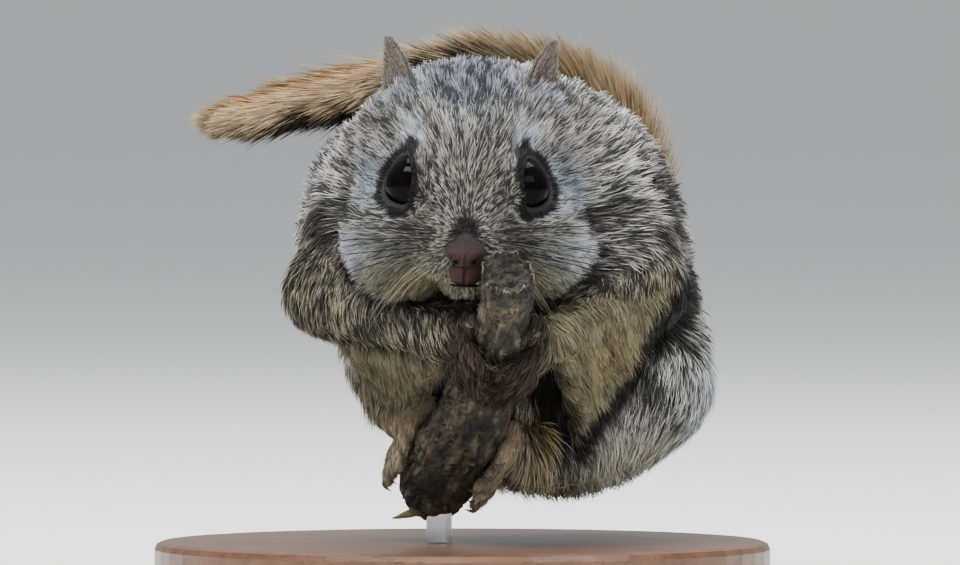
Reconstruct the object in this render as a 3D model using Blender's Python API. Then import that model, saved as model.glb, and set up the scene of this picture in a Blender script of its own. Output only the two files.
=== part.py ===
"""A flying squirrel at life size, hugging a broken branch stub that a small display stand holds up.

Metres, +Z up. The animal faces -Y. The origin is the middle of the stand's underside.
Lengths are written in millimetres and turned to metres by mm().
"""

import itertools
import math

import bmesh
import bpy
import numpy as np
from mathutils import Vector

MILLIMETRE = 0.001
FEWEST_FACES = 12


def mm(*values):
    """Millimetres to metres: one number, or an array for several."""
    scaled = np.array(values, float) * MILLIMETRE
    return float(scaled[0]) if len(values) == 1 else scaled


# Driving sizes of the animal, over the fur
GAP = mm(0.3)
HEAD_CENTRE = mm(0.8, -16.0, 62.7)
HEAD_ROLL = math.radians(1.5)
HEAD_HALF_WIDTH = mm(19.4)
BODY_HALF_WIDTH = mm(30.0)
EYE_RADIUS = mm(4.8)
EAR_LENGTH = mm(13.0)
EAR_HALF_WIDTH = mm(3.9)
EAR_THICKNESS = mm(0.85)
EAR_RIM = mm(0.15)
TAIL_HALF_WIDTH = mm(9.5)
TAIL_HALF_DEPTH = mm(4.2)
FINGER_RADIUS = mm(0.95)
TOE_RADIUS = mm(1.05)
CLAW_LENGTH = mm(2.0)
CLAW_RADII = mm(0.6, 0.45, 0.12)

# Driving sizes of the perch and the stand
BASE_SIZE = mm(96.0, 90.0, 7.0)
BASE_BEVEL = mm(1.2)
ROD_RADIUS = mm(2.0)
ROD_CHAMFER = mm(0.6)

# Material colours as linear red, green, blue
FUR_GREY = (0.20, 0.175, 0.145)
FUR_CREAM = (0.48, 0.42, 0.31)
FUR_BUFF = (0.42, 0.26, 0.12)
EAR_SKIN = (0.25, 0.19, 0.15)
NOSE_SKIN = (0.22, 0.12, 0.11)
PAW_SKIN = (0.30, 0.20, 0.16)
EYE_BLACK = (0.006, 0.006, 0.008)
BARK_BROWN = (0.16, 0.12, 0.075)
WALNUT = (0.10, 0.055, 0.03)
STEEL = (0.45, 0.45, 0.46)


# Distance fields

def ellipsoid(points, centre, radii, pitch=0.0):
    """Signed distance, near enough, to an ellipsoid that is turned about X by pitch degrees."""
    local = points - centre
    if pitch:
        turn = math.radians(pitch)
        y = local[:, 1] * math.cos(turn) + local[:, 2] * math.sin(turn)
        z = local[:, 2] * math.cos(turn) - local[:, 1] * math.sin(turn)
        local = np.column_stack((local[:, 0], y, z))
    inner = np.linalg.norm(local / radii, axis=1)
    slope = np.linalg.norm(local / np.square(radii), axis=1)
    return inner * (inner - 1.0) / np.maximum(slope, 1e-9)


def round_cone(points, start, end, start_radius, end_radius):
    """Signed distance to a limb that tapers between two balls."""
    along = end - start
    share = np.clip((points - start) @ along / (along @ along), 0.0, 1.0)
    nearest = start + share[:, None] * along
    radius = start_radius + (end_radius - start_radius) * share
    return np.linalg.norm(points - nearest, axis=1) - radius


def blended(distances, blend):
    """Smooth union of several distances, rounded over the length blend."""
    result = distances[0]
    for other in distances[1:]:
        share = np.clip(0.5 + 0.5 * (other - result) / blend, 0.0, 1.0)
        result = other * (1 - share) + result * share - blend * share * (1 - share)
    return result


def mirrored(point, side):
    """The point with its X taken to the side +1 or -1."""
    return np.array(point) * (side, 1.0, 1.0)


# Forms of the head, in the head's own frame: origin at its centre, X across, -Y to the nose

MUZZLE_POLE = np.array((0.0, -0.9, -0.44))
EYE_SEAT = mm(9.8, -10.6, 0.3)
EYE_AXIS = np.array((0.88, -0.47, 0.12))
EYE_SINK = mm(2.1)
ORBIT_SHIFT = mm(1.7)
ORBIT_RADIUS = mm(5.2)
LID_REACH = mm(4.75)
LID_RADIUS = mm(0.95)
NOSE_SEAT = mm(0.0, -20.6, -9.6)

# The split upper lip, and the mouth's line from its middle to its left corner
LIP_LINE = [mm(0, -21.0, -12.0), mm(0, -19.6, -13.6), mm(0, -17.6, -14.6)]
LIP_RADII = mm(0.35, 0.35, 0.35)
MOUTH_LINE = [mm(0, -18.6, -13.8), mm(3.2, -17.2, -13.2), mm(5.8, -13.8, -13.6)]
MOUTH_RADII = mm(0.3, 0.6, 0.7, 0.6, 0.3)


def head_field(points):
    """The head without its eyes, ears and nose: cranium, brow, cheeks, muzzle, lips and chin."""
    width = HEAD_HALF_WIDTH
    across = np.column_stack((np.abs(points[:, 0]), points[:, 1], points[:, 2]))
    cranium = ellipsoid(points, mm(0, 4.4, 4.4), (width * 0.93, mm(17.0), mm(13.6)), 42.0)
    brow = ellipsoid(points, mm(0, -4.4, 0.6), mm(11.8, 13.2, 12.4))
    cheek = ellipsoid(across, mm(9.3, -3.2, -8.0), (width * 0.53, mm(11.6), mm(9.6)))
    muzzle = ellipsoid(points, mm(0, -12.6, -8.0), mm(6.2, 8.2, 6.0))
    whisker_pad = ellipsoid(across, mm(3.0, -14.6, -10.8), mm(4.4, 4.8, 3.6))
    chin = ellipsoid(points, mm(0, -12.6, -14.2), mm(4.2, 4.8, 3.0))
    skull = blended((cranium, brow, cheek), mm(4.5))
    snout = blended((muzzle, whisker_pad), mm(2.0))
    return blended((blended((skull, snout), mm(4.0)), chin), mm(1.2))


def head_to_world(points):
    """Rolls head-frame points about Y and sets them at the head's centre."""
    points = np.atleast_2d(points)
    cosine, sine = math.cos(HEAD_ROLL), math.sin(HEAD_ROLL)
    x = points[:, 0] * cosine + points[:, 2] * sine
    z = points[:, 2] * cosine - points[:, 0] * sine
    return np.column_stack((x, points[:, 1], z)) + HEAD_CENTRE


def eye_centre(side):
    """Centre of the eyeball, sunk behind its lids, in the head's frame."""
    axis = mirrored(EYE_AXIS / np.linalg.norm(EYE_AXIS), side)
    return mirrored(EYE_SEAT, side) - axis * EYE_SINK


# Forms of the neck and trunk, in the world frame

COLLAR_CENTRE = mm(2.4, -13.0, 60.8)
COLLAR_RADII = mm(26.0, 20.5, 25.5)
BACK_CENTRE = mm(4.6, 6.0, 54.0)
RUMP_CENTRE = mm(15.5, 11.0, 37.6)


def collar_field(points):
    """The room of the head and neck together, whose back face parts the neck from the torso."""
    return ellipsoid(points, COLLAR_CENTRE, COLLAR_RADII)


def trunk_field(points):
    """Neck, chest and back as one round ball, with the rump low on the right and behind."""
    back = ellipsoid(points, BACK_CENTRE, (BODY_HALF_WIDTH, mm(27.0), mm(27.0)))
    rump = ellipsoid(points, RUMP_CENTRE, mm(22.5, 21.8, 21.8))
    nape = ellipsoid(points, mm(2.6, -6.0, 62.0), mm(22.5, 14.0, 19.5))
    return blended((blended((back, rump), mm(7.0)), nape), mm(4.0))


# Limbs: joints and the radius over the fur at each

ARM_JOINTS = {
    "right": (mm(-16.5, -4.0, 54.0), mm(-20.8, -11.0, 46.0), mm(-4.6, -24.6, 40.6)),
    "left": (mm(23.4, -1.5, 54.5), mm(28.2, -9.0, 47.2), mm(15.4, -24.0, 40.6)),
}
ARM_RADII = mm(8.0, 6.2, 3.4)
LEG_JOINTS = {
    "right": (mm(-2.0, 12.0, 32.0), mm(-10.4, -1.0, 34.0), mm(-10.4, -3.4, 27.4)),
    "left": (mm(26.5, 13.0, 31.0), mm(29.6, -1.5, 31.5), mm(18.8, -5.0, 23.2)),
}
LEG_RADII = mm(11.0, 8.4, 2.9)


def limb_field(points, joints, radii, blend):
    """A limb of two tapered lengths that meet in a rounded bend."""
    upper = round_cone(points, joints[0], joints[1], radii[0], radii[1])
    lower = round_cone(points, joints[1], joints[2], radii[1], radii[2])
    return blended((upper, lower), blend)


# Centrelines

STUB_LINE = np.array([
    mm(-5.6, -3.5, 13.6), mm(-3.2, -8.5, 18.4), mm(-0.4, -13.5, 23.6), mm(2.2, -18.5, 28.6),
    mm(4.4, -24.5, 34.0), mm(6.0, -31.5, 40.0), mm(6.8, -37.6, 45.8), mm(7.2, -41.6, 49.8),
])
STUB_RADII = mm(5.0, 5.7, 5.8, 5.1, 4.4, 4.1, 3.9, 3.8)
STUB_SWELL = 1.065
HAND_SHARE = 0.68
FOOT_SHARE = {"left": 0.24, "right": 0.20}
FINGER_SPACING = 0.044
FINGER_DROP = 0.02
FINGER_END = 31.0
TOE_SPACING = 0.050
TOE_DROP = 0.05
TOE_END = 56.0
KNOT_CENTRE = mm(-4.6, -14.0, 22.6)
KNOT_RADII = mm(2.4, 2.6, 2.6)
SPLINTER_LINE = [mm(-4.8, -5.0, 12.6), mm(-7.4, -6.0, 11.4), mm(-10.8, -7.6, 10.2)]
ROD_PLACE = mm(-3.6, -7.0)
ROD_TOP = mm(16.5)

GLIDE_THICKNESS = mm(3.4)
GLIDE_CORNERS = {
    "left": (mm(30.8, -11.5, 43.8), mm(14.6, -22.5, 38.5), mm(18.8, -10.0, 23.8)),
    "right": (mm(-17.6, -12.0, 38.6), mm(-3.6, -21.5, 36.6), mm(-9.9, -8.0, 28.6)),
}

TAIL_ROOT = mm(15.0, 20.0, 25.0)
TAIL_ROUTE = np.array([
    TAIL_ROOT, mm(20.5, 29.0, 30.0), mm(25.0, 30.0, 40.0), mm(27.0, 28.5, 50.0), mm(27.0, 26.0, 60.0),
    mm(24.0, 24.0, 68.0), mm(16.5, 22.5, 74.5), mm(6.5, 21.5, 77.5), mm(-5.0, 20.0, 78.5),
    mm(-17.5, 16.0, 76.6), mm(-28.5, 12.0, 74.0), mm(-38.5, 9.0, 72.0),
])
TAIL_FREE_SHARES = (0.62, 0.80)
TAIL_PARTINGS = (0.28, 0.54, 0.78)
TAIL_NODES = ("tail_base", "tail_middle", "tail_upper", "tail_tip")
TAIL_SEED = 7
CORE_SHARE = 0.5
LOCK_WIDTH = mm(9.0)
LOCK_DEPTH = mm(1.7)

# Rows of tail locks: root offset and lift as shares of the half width and half depth,
# splay from the tail's line in degrees, rise off its face, and first share, last share and count
LOCK_ROWS = (
    (0.36, 0.0, 31.0, 0.0, (0.18, 0.92, 12)),
    (-0.36, 0.0, -31.0, 0.0, (0.21, 0.94, 12)),
    (0.14, 0.40, 9.0, 0.17, (0.26, 0.86, 4)),
    (-0.16, 0.40, -9.0, 0.17, (0.20, 0.80, 5)),
    (0.0, -0.3, 6.0, -0.26, (0.70, 0.90, 2)),
    (0.05, 0.0, 9.0, 0.06, (0.95, 0.97, 1)),
    (-0.05, 0.0, -9.0, -0.05, (0.93, 0.97, 1)),
)


def away_from(field, points, step=0.0004):
    """Unit directions in which the distance grows fastest."""
    slopes = [field(points + axis * step) - field(points - axis * step) for axis in np.eye(3)]
    return unit(np.column_stack(slopes))


def laid_on(field, points, lift):
    """The points, moved out where needed until they stand off the surface by lift."""
    points = np.array(points, float)
    for _ in range(12):
        short = np.clip(lift - field(points), 0, None)
        points = points + away_from(field, points) * short[:, None]
    return points


def along_line(points, shares):
    """Smooth curve through the points, at shares 0 to 1 of its length: a Catmull-Rom spline."""
    points = np.asarray(points, float)
    ends = np.vstack((2 * points[0] - points[1], points, 2 * points[-1] - points[-2]))
    dense = np.linspace(0, len(points) - 1, 40 * len(points))
    spot = np.minimum(dense.astype(int), len(points) - 2)
    t = (dense - spot)[:, None]
    a, b, c, d = (ends[spot + k] for k in range(4))
    square, cube = 2 * a - 5 * b + 4 * c - d, 3 * b - a - 3 * c + d
    curve = 0.5 * (2 * b + (c - a) * t + square * t**2 + cube * t**3)
    length = np.concatenate(([0.0], np.cumsum(np.linalg.norm(np.diff(curve, axis=0), axis=1))))
    wanted = np.atleast_1d(shares) * length[-1]
    return np.column_stack([np.interp(wanted, length, curve[:, k]) for k in range(3)])


def directions_along(points, shares, step=0.01):
    """Unit directions of the curve at these shares."""
    shares = np.atleast_1d(shares)
    ahead = along_line(points, np.clip(shares + step, 0, 1))
    behind = along_line(points, np.clip(shares - step, 0, 1))
    return unit(ahead - behind)


def unit(vectors):
    """Each vector at length 1."""
    vectors = np.asarray(vectors, float)
    return vectors / np.linalg.norm(vectors, axis=-1, keepdims=True)


# Mesh builders

def new_object(name, vertices, faces):
    """A mesh object of triangles with its normals facing out."""
    mesh = bpy.data.meshes.new(name)
    mesh.from_pydata([tuple(v) for v in vertices], [], [tuple(f) for f in faces])
    shape = bmesh.new()
    shape.from_mesh(mesh)
    bmesh.ops.recalc_face_normals(shape, faces=shape.faces)
    if shape.calc_volume(signed=True) < 0:
        bmesh.ops.reverse_faces(shape, faces=shape.faces)
    bmesh.ops.triangulate(shape, faces=shape.faces)
    shape.to_mesh(mesh)
    shape.free()
    obj = bpy.data.objects.new(name, mesh)
    bpy.context.scene.collection.objects.link(obj)
    return obj


def ring_faces(rings, sides, first_pole, last_pole):
    """Faces of a closed skin of rings, whose first and last rings close on a pole vertex each."""
    faces = []
    for ring in range(rings - 1):
        for side in range(sides):
            after = (side + 1) % sides
            low, high = ring * sides, (ring + 1) * sides
            faces.append((low + side, low + after, high + after, high + side))
    top = (rings - 1) * sides
    for side in range(sides):
        after = (side + 1) % sides
        faces.append((first_pole, after, side))
        faces.append((last_pole, top + side, top + after))
    return faces


def pushed_sphere(name, field, centre, pole, rings, sides, crowd=1.0, reach=0.06, to_world=None,
                  squash=1.0):
    """A sphere whose vertices slide along their rays to where the field is zero.

    The rings run round the pole direction, and crowd above 1 packs them towards it.
    squash below 1 leans the rays away from the pole direction, for flat forms.
    """
    pole = unit(pole)
    sideways = unit(np.cross(pole, (0.0, 0.0, 1.0) if abs(pole[2]) < 0.9 else (0.0, 1.0, 0.0)))
    upward = np.cross(sideways, pole)
    polar = math.pi * (np.arange(1, rings + 1) / (rings + 1)) ** crowd
    turn = 2 * math.pi * np.arange(sides) / sides
    polar_grid, turn_grid = np.meshgrid(polar, turn, indexing="ij")
    across = np.cos(turn_grid)[..., None] * sideways + np.sin(turn_grid)[..., None] * upward
    rays = np.cos(polar_grid)[..., None] * pole * squash + np.sin(polar_grid)[..., None] * across
    rays = np.vstack((rays.reshape(-1, 3), pole * squash, -pole * squash))
    outside = np.full(len(rays), reach)
    inside = np.zeros(len(rays))
    for share in np.linspace(0, 1, 90)[:0:-1]:
        tried = centre + rays * (reach * share)
        free = (inside == 0) & (field(tried) > 0)
        outside[free] = reach * share
        inside[(inside == 0) & ~free] = reach * share
    for _ in range(18):
        middle = (inside + outside) / 2
        full = field(centre + rays * middle[:, None]) < 0
        inside = np.where(full, middle, inside)
        outside = np.where(full, outside, middle)
    vertices = centre + rays * inside[:, None]
    if to_world:
        vertices = to_world(vertices)
    return new_object(name, vertices, ring_faces(rings, sides, rings * sides, rings * sides + 1))


def swept(name, centres, first_axes, second_axes, first_radii, second_radii, sides, bumps=None):
    """A closed tube of elliptical rings, with a pole at the middle of each end."""
    turn = 2 * math.pi * np.arange(sides) / sides
    rings = len(centres)
    swell = np.ones((rings, sides)) if bumps is None else bumps
    first_spokes = first_axes[:, None, :] * np.reshape(first_radii, (-1, 1, 1))
    second_spokes = second_axes[:, None, :] * np.reshape(second_radii, (-1, 1, 1))
    across = np.cos(turn)[None, :, None] * first_spokes + np.sin(turn)[None, :, None] * second_spokes
    vertices = (centres[:, None, :] + across * swell[..., None]).reshape(-1, 3)
    vertices = np.vstack((vertices, centres[0], centres[-1]))
    return new_object(name, vertices, ring_faces(rings, sides, rings * sides, rings * sides + 1))


def taper(name, line, radii, sides=6, rings=6, flat=1.0, up=(0.0, 0.0, 1.0)):
    """A rounded finger, claw or twig along a line, flattened by flat across the up direction."""
    shares = np.linspace(0, 1, rings)
    centres = along_line(line, shares)
    ahead = directions_along(line, shares, 0.5 / rings)
    first = unit(np.cross(ahead, up))
    second = np.cross(first, ahead)
    sizes = np.interp(shares, np.linspace(0, 1, len(radii)), radii)
    return swept(name, centres, first, second, sizes, sizes * flat, sides)


# Joining and cutting

def is_sound(mesh):
    """Whether the mesh is a body whose every edge joins two faces."""
    if len(mesh.polygons) < FEWEST_FACES:
        return False
    sides = np.zeros(len(mesh.loops), int)
    mesh.loops.foreach_get("edge_index", sides)
    return bool(np.all(np.bincount(sides, minlength=len(mesh.edges)) == 2))


def keep_largest(mesh, splitting):
    """Merges corners that fall together and keeps, as triangles, the surface that spans the most room."""
    shape = bmesh.new()
    shape.from_mesh(mesh)
    bmesh.ops.remove_doubles(shape, verts=shape.verts, dist=mm(0.001))
    bmesh.ops.dissolve_degenerate(shape, edges=shape.edges, dist=mm(0.001))
    left, groups = set(shape.verts), []
    while left:
        seed = left.pop()
        group, front = {seed}, [seed]
        while front:
            for edge in front.pop().link_edges:
                for vertex in edge.verts:
                    if vertex in left:
                        left.remove(vertex)
                        group.add(vertex)
                        front.append(vertex)
        groups.append(group)

    def span(group):
        corners = np.array([vertex.co for vertex in group])
        return float(np.prod(np.ptp(corners, axis=0) + mm(0.01)))

    largest = max(groups, key=span)
    bmesh.ops.delete(shape, geom=[v for v in shape.verts if v not in largest], context="VERTS")
    bmesh.ops.triangulate(shape, faces=shape.faces, ngon_method=splitting)
    shape.to_mesh(mesh)
    shape.free()


def combine(obj, others, operation):
    """One Boolean of the object with a collection of closed meshes, which are then removed.

    The exact solver comes first, and the manifold one where its result isn't closed.
    """
    group = bpy.data.collections.new(obj.name + "_" + operation.lower())
    bpy.context.scene.collection.children.link(group)
    for other in others:
        bpy.context.scene.collection.objects.unlink(other)
        group.objects.link(other)
    boolean = obj.modifiers.new(operation.title(), "BOOLEAN")
    boolean.operation = operation
    boolean.operand_type = "COLLECTION"
    boolean.collection = group
    for solver, splitting in itertools.product(("EXACT", "MANIFOLD"), ("BEAUTY", "EAR_CLIP")):
        boolean.solver = solver
        bpy.context.view_layer.update()
        graph = bpy.context.evaluated_depsgraph_get()
        result = bpy.data.meshes.new_from_object(obj.evaluated_get(graph))
        keep_largest(result, splitting)
        if is_sound(result):
            break
    obj.modifiers.clear()
    obj.data = result
    for other in others:
        bpy.data.objects.remove(other)
    bpy.data.collections.remove(group)
    return obj


def fused(obj, others):
    """The object with the others joined to it in one body."""
    return combine(obj, others, "UNION")


def carved(obj, *others):
    """The object with the others' room taken out of it, one after another."""
    for other in others:
        combine(obj, [other], "DIFFERENCE")
    return obj


def painted(obj, colour, roughness, metallic=0.0):
    """Gives the object its own material and smooth shading."""
    material = bpy.data.materials.new(obj.name)
    material.use_nodes = True
    shader = material.node_tree.nodes["Principled BSDF"]
    shader.inputs["Base Color"].default_value = (*colour, 1.0)
    shader.inputs["Roughness"].default_value = roughness
    shader.inputs["Metallic"].default_value = metallic
    obj.data.materials.clear()
    obj.data.materials.append(material)
    obj.data.shade_smooth()
    obj.data.set_sharp_from_angle(angle=math.radians(40))
    return obj


# The head and what it carries

def head_form(name, grow=0.0, rings=23, sides=30):
    """The head's plain form, out to its fur. A room for it has fewer faces."""
    if grow:
        rings, sides, grow = 20, 26, grow + mm(0.15)
    return pushed_sphere(
        name, lambda p: head_field(p) - grow, mm(0, -4.5, -1.0), MUZZLE_POLE, rings, sides, 1.25,
        to_world=head_to_world,
    )


def eyeball(name, side, grow=0.0):
    """One large round eye."""
    centre = eye_centre(side)
    return pushed_sphere(
        name, lambda p: np.linalg.norm(p - centre, axis=1) - EYE_RADIUS - grow, centre,
        mirrored(EYE_AXIS, side), 8, 14, to_world=head_to_world,
    )


def orbit(name, side):
    """The hollow of the head that an eye sits in, wider than the eye so that its lids stand clear."""
    centre = eye_centre(side) + mirrored(unit(EYE_AXIS), side) * ORBIT_SHIFT
    return pushed_sphere(
        name, lambda p: np.linalg.norm(p - centre, axis=1) - ORBIT_RADIUS, centre,
        mirrored(EYE_AXIS, side), 7, 14, to_world=head_to_world,
    )


def nose_pad(name, grow=0.0):
    """The bare nose: a rounded triangle, wide above and drawn in below."""
    def field(points):
        wings = ellipsoid(points, NOSE_SEAT + mm(0, 0, 0.9), mm(2.8, 1.9, 2.0))
        tip = ellipsoid(points, NOSE_SEAT + mm(0, 0.1, -1.0), mm(2.1, 1.7, 1.9))
        return blended((wings, tip), mm(1.0)) - grow

    return pushed_sphere(name, field, NOSE_SEAT, (0, -1, 0), 9, 16, reach=0.01, to_world=head_to_world)


def eyelids(side, sides=18):
    """A raised ring of lid round one eye."""
    axis = mirrored(unit(EYE_AXIS), side)
    upward = unit(np.array((0.0, 0.0, 1.0)) - axis * axis[2])
    forward = np.cross(upward, axis)
    turn = 2 * math.pi * np.arange(sides) / sides
    middle = mirrored(EYE_SEAT, side) - axis * mm(0.3)
    spokes = np.cos(turn)[:, None] * forward + np.sin(turn)[:, None] * upward
    centres = middle + spokes * LID_REACH
    ring = 4
    section = 2 * math.pi * np.arange(ring) / ring
    out = np.cos(section)[None, :, None] * spokes[:, None, :] * LID_RADIUS
    out = out + np.sin(section)[None, :, None] * axis * LID_RADIUS
    vertices = head_to_world((centres[:, None, :] + out).reshape(-1, 3))
    faces = []
    for step in range(sides):
        after = (step + 1) % sides
        for corner in range(ring):
            beyond = (corner + 1) % ring
            near, far = step * ring, after * ring
            faces.append((near + corner, far + corner, far + beyond, near + beyond))
    return new_object("lid_ring", vertices, faces)


def mouth_grooves():
    """Thin cutters for the split upper lip and the line of the mouth."""
    lip = taper("lip_cutter", head_to_world(LIP_LINE), LIP_RADII, up=(1.0, 0.0, 0.0))
    corners = [mirrored(point, -1) for point in MOUTH_LINE[:0:-1]]
    mouth = taper("mouth_cutter", head_to_world(corners + MOUTH_LINE), MOUTH_RADII, rings=11)
    return [lip, mouth]


def make_head():
    """Head, eyes, nose and ears."""
    head = carved(head_form("head"), orbit("orbit", 1), orbit("orbit", -1))
    fused(head, [eyelids(1), eyelids(-1)])
    carved(head, eyeball("eye_room", 1, GAP), eyeball("eye_room", -1, GAP), nose_pad("nose_room", GAP))
    carved(head, *mouth_grooves())
    nose = nose_pad("nose")
    for side in (1, -1):
        start = mirrored(NOSE_SEAT + mm(1.3, -2.6, 0.2), side)
        end = mirrored(NOSE_SEAT + mm(1.1, -0.6, 0.5), side)
        line = head_to_world([start, (start + end) / 2, end])
        carved(nose, taper("nostril", line, mm(0.75, 0.65, 0.35), rings=4))
    made = [painted(head, FUR_GREY, 0.9), painted(nose, NOSE_SKIN, 0.5)]
    for name, side in (("left", 1), ("right", -1)):
        made.append(painted(eyeball("eye_" + name, side), EYE_BLACK, 0.05))
        made.append(make_ear("ear_" + name, side))
    return made


def make_ear(name, side, rows=9, columns=9):
    """One ear: a cupped, pointed leaf that opens outwards and forwards."""
    root = mirrored(mm(8.6, 3.6, 11.4), side)
    upward = unit(mirrored((0.30, 0.26, 1.0), side))
    opening = mirrored((0.82, -0.57, 0.0), side)
    opening = unit(opening - upward * (opening @ upward))
    across = np.cross(upward, opening)
    height, span = np.linspace(0, 1, rows), np.linspace(-1, 1, columns)
    outline = np.sqrt(np.clip(1 - height**2.4, 0, 1)) * (0.80 + 0.20 * np.cos(3 * height))
    half_width = EAR_HALF_WIDTH * outline + EAR_RIM
    wrap = 1.15 - 0.35 * height
    angle = span[None, :] * wrap[:, None]
    curl = half_width[:, None] / np.sin(wrap)[:, None]
    rise = height * EAR_LENGTH
    sideways, depth = curl * np.sin(angle), curl * (1 - np.cos(angle))
    middle = root + rise[:, None, None] * upward + depth[..., None] * opening
    middle = middle + sideways[..., None] * across
    thickness = (EAR_THICKNESS * (1 - 0.35 * height))[:, None, None] / 2
    inward = np.cos(angle)[..., None] * opening - np.sin(angle)[..., None] * across
    front = (middle + inward * thickness).reshape(-1, 3)
    rear = (middle - inward * thickness).reshape(-1, 3)
    half = rows * columns
    faces = []
    for row in range(rows - 1):
        for column in range(columns - 1):
            a = row * columns + column
            b, c, d = a + 1, a + columns + 1, a + columns
            faces += [(a, b, c), (a, c, d)]
            faces += [(half + a, half + c, half + b), (half + a, half + d, half + c)]
    border = [column for column in range(columns)]
    border += [row * columns + columns - 1 for row in range(1, rows)]
    border += [(rows - 1) * columns + column for column in range(columns - 2, -1, -1)]
    border += [row * columns for row in range(rows - 2, 0, -1)]
    for a, b in zip(border, border[1:] + border[:1]):
        faces.append((a, b, half + b, half + a))
    ear = new_object(name, head_to_world(np.vstack((front, rear))), faces)
    carved(ear, head_form("room", GAP), trunk_form("room", GAP))
    return painted(ear, EAR_SKIN, 0.8)


# The neck, trunk, limbs and gliding skins

def collar_form(name, grow=0.0):
    """The room of head and neck."""
    return pushed_sphere(name, lambda p: collar_field(p) - grow, COLLAR_CENTRE, (0, -1, 0), 14, 28)


def trunk_form(name, grow=0.0):
    """The trunk's plain form, with the neck on it."""
    return pushed_sphere(
        name, lambda p: trunk_field(p) - grow, (BACK_CENTRE + RUMP_CENTRE) / 2, (0, -1, 0), 18, 28,
        reach=0.08,
    )


def limb_form(name, joints, radii, blend, grow=0.0):
    """An arm or a leg, pushed out from its bend."""
    line = unit(joints[2] - joints[1])
    return pushed_sphere(
        name, lambda p: limb_field(p, joints, radii, blend) - grow, joints[1], line, 14, 16, 0.9
    )


def arm_form(name, side, grow=0.0):
    """One arm from shoulder to wrist."""
    return limb_form(name, ARM_JOINTS[side], ARM_RADII, mm(3.0), grow)


def leg_form(name, side, grow=0.0):
    """One leg from hip to ankle."""
    return limb_form(name, LEG_JOINTS[side], LEG_RADII, mm(4.0), grow)


def make_trunk():
    """Neck and torso, parted by the gap that touching pieces keep."""
    neck = combine(trunk_form("neck"), [collar_form("collar")], "INTERSECT")
    carved(neck, head_form("head_room", GAP))
    torso = carved(trunk_form("torso"), collar_form("collar_room", GAP))
    return [painted(neck, FUR_GREY, 0.9), painted(torso, FUR_GREY, 0.9)]


def make_limbs():
    """Arms and legs, each cut back to the face of what it grows from."""
    made = []
    for side in ("left", "right"):
        arm = carved(arm_form("arm_" + side, side), trunk_form("room", GAP), head_form("room", GAP))
        leg = carved(leg_form("leg_" + side, side), trunk_form("room", GAP), stub_form("room", GAP))
        carved(leg, arm_form("room", side, GAP))
        made += [painted(arm, FUR_GREY, 0.9), painted(leg, FUR_GREY, 0.9)]
    return made


# Hands and feet, whose digits close round the stub

def round_stub(share, angle, lift):
    """A point beside the stub. The angle is in degrees from its front, positive to the animal's left."""
    centre = along_line(STUB_LINE, share)[0]
    ahead = directions_along(STUB_LINE, share)[0]
    facing = unit(np.array((0.0, -1.0, 0.0)) + ahead * ahead[1])
    sideways = np.cross(ahead, facing)
    radius = np.interp(share, np.linspace(0, 1, len(STUB_RADII)), STUB_RADII) * STUB_SWELL + GAP + lift
    turn = math.radians(angle)
    return centre + (facing * math.cos(turn) + sideways * math.sin(turn)) * radius


def digit(name, shares, angles, radius, claw):
    """A finger or toe bent round the stub, with its claw."""
    steps = np.linspace(0, 1, 4)
    share = shares[0] + (shares[1] - shares[0]) * steps
    angle = angles[0] + (angles[1] - angles[0]) * steps
    lift = radius * (1.15 - 0.25 * steps)
    line = np.array([round_stub(s, a, h) for s, a, h in zip(share, angle, lift)])
    ahead = unit(line[-1] - line[-2])
    tip = line[-1] + ahead * radius * 0.5
    flesh = taper(name, np.vstack((line, tip)), radius * np.array((1.15, 1.05, 1.0, 0.5)), sides=5, rings=4)
    out = unit(line[-1] - along_line(STUB_LINE, share[-1])[0])
    root = line[-1] + out * radius * 0.35
    bend = tip + ahead * claw * 0.45 + out * radius * 0.25
    nail = taper(name + "_claw", [root, bend, tip + ahead * claw], CLAW_RADII, sides=3, rings=3)
    return [flesh, nail]


def palm_form(name, side, grow=0.0):
    """The palm and back of a forepaw, from the wrist to the side of the stub."""
    sign = 1 if side == "left" else -1
    wrist = ARM_JOINTS[side][2]
    palm = round_stub(HAND_SHARE, sign * 112, mm(1.4))
    return pushed_sphere(
        name, lambda p: round_cone(p, wrist, palm, mm(3.5), mm(3.3)) - grow, (wrist + palm) / 2,
        palm - wrist, 7, 12, reach=0.03,
    )


def make_hand(side):
    """One forepaw: palm on the side of the stub and four fingers over its front."""
    sign = 1 if side == "left" else -1
    hand = palm_form("hand_" + side, side)
    pieces = []
    for number in range(4):
        spread = (number - 1.5) * FINGER_SPACING
        start = HAND_SHARE + spread * 0.8
        end = HAND_SHARE - FINGER_DROP + spread
        angles = (sign * 118, sign * FINGER_END)
        pieces += digit(f"finger_{number}", (start, end), angles, FINGER_RADIUS, CLAW_LENGTH)
    shares = HAND_SHARE + 2.2 * FINGER_SPACING, HAND_SHARE + 2.8 * FINGER_SPACING
    thumb = digit("thumb", shares, (sign * 125, sign * 75), FINGER_RADIUS * 0.9, CLAW_LENGTH * 0.5)
    fused(hand, pieces + thumb)
    carved(hand, stub_form("room", GAP), arm_form("room", side, GAP), head_form("room", GAP))
    carved(hand, trunk_form("room", GAP))
    return painted(hand, PAW_SKIN, 0.8)


def sole_form(name, side, grow=0.0):
    """The heel and sole of a hind foot, from the ankle to the side of the stub."""
    sign = 1 if side == "left" else -1
    ankle = LEG_JOINTS[side][2]
    ball = round_stub(FOOT_SHARE[side], sign * 112, mm(2.2))
    return pushed_sphere(
        name, lambda p: round_cone(p, ankle, ball, mm(3.0), mm(3.3)) - grow, (ankle + ball) / 2,
        ball - ankle, 7, 12, reach=0.03,
    )


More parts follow.
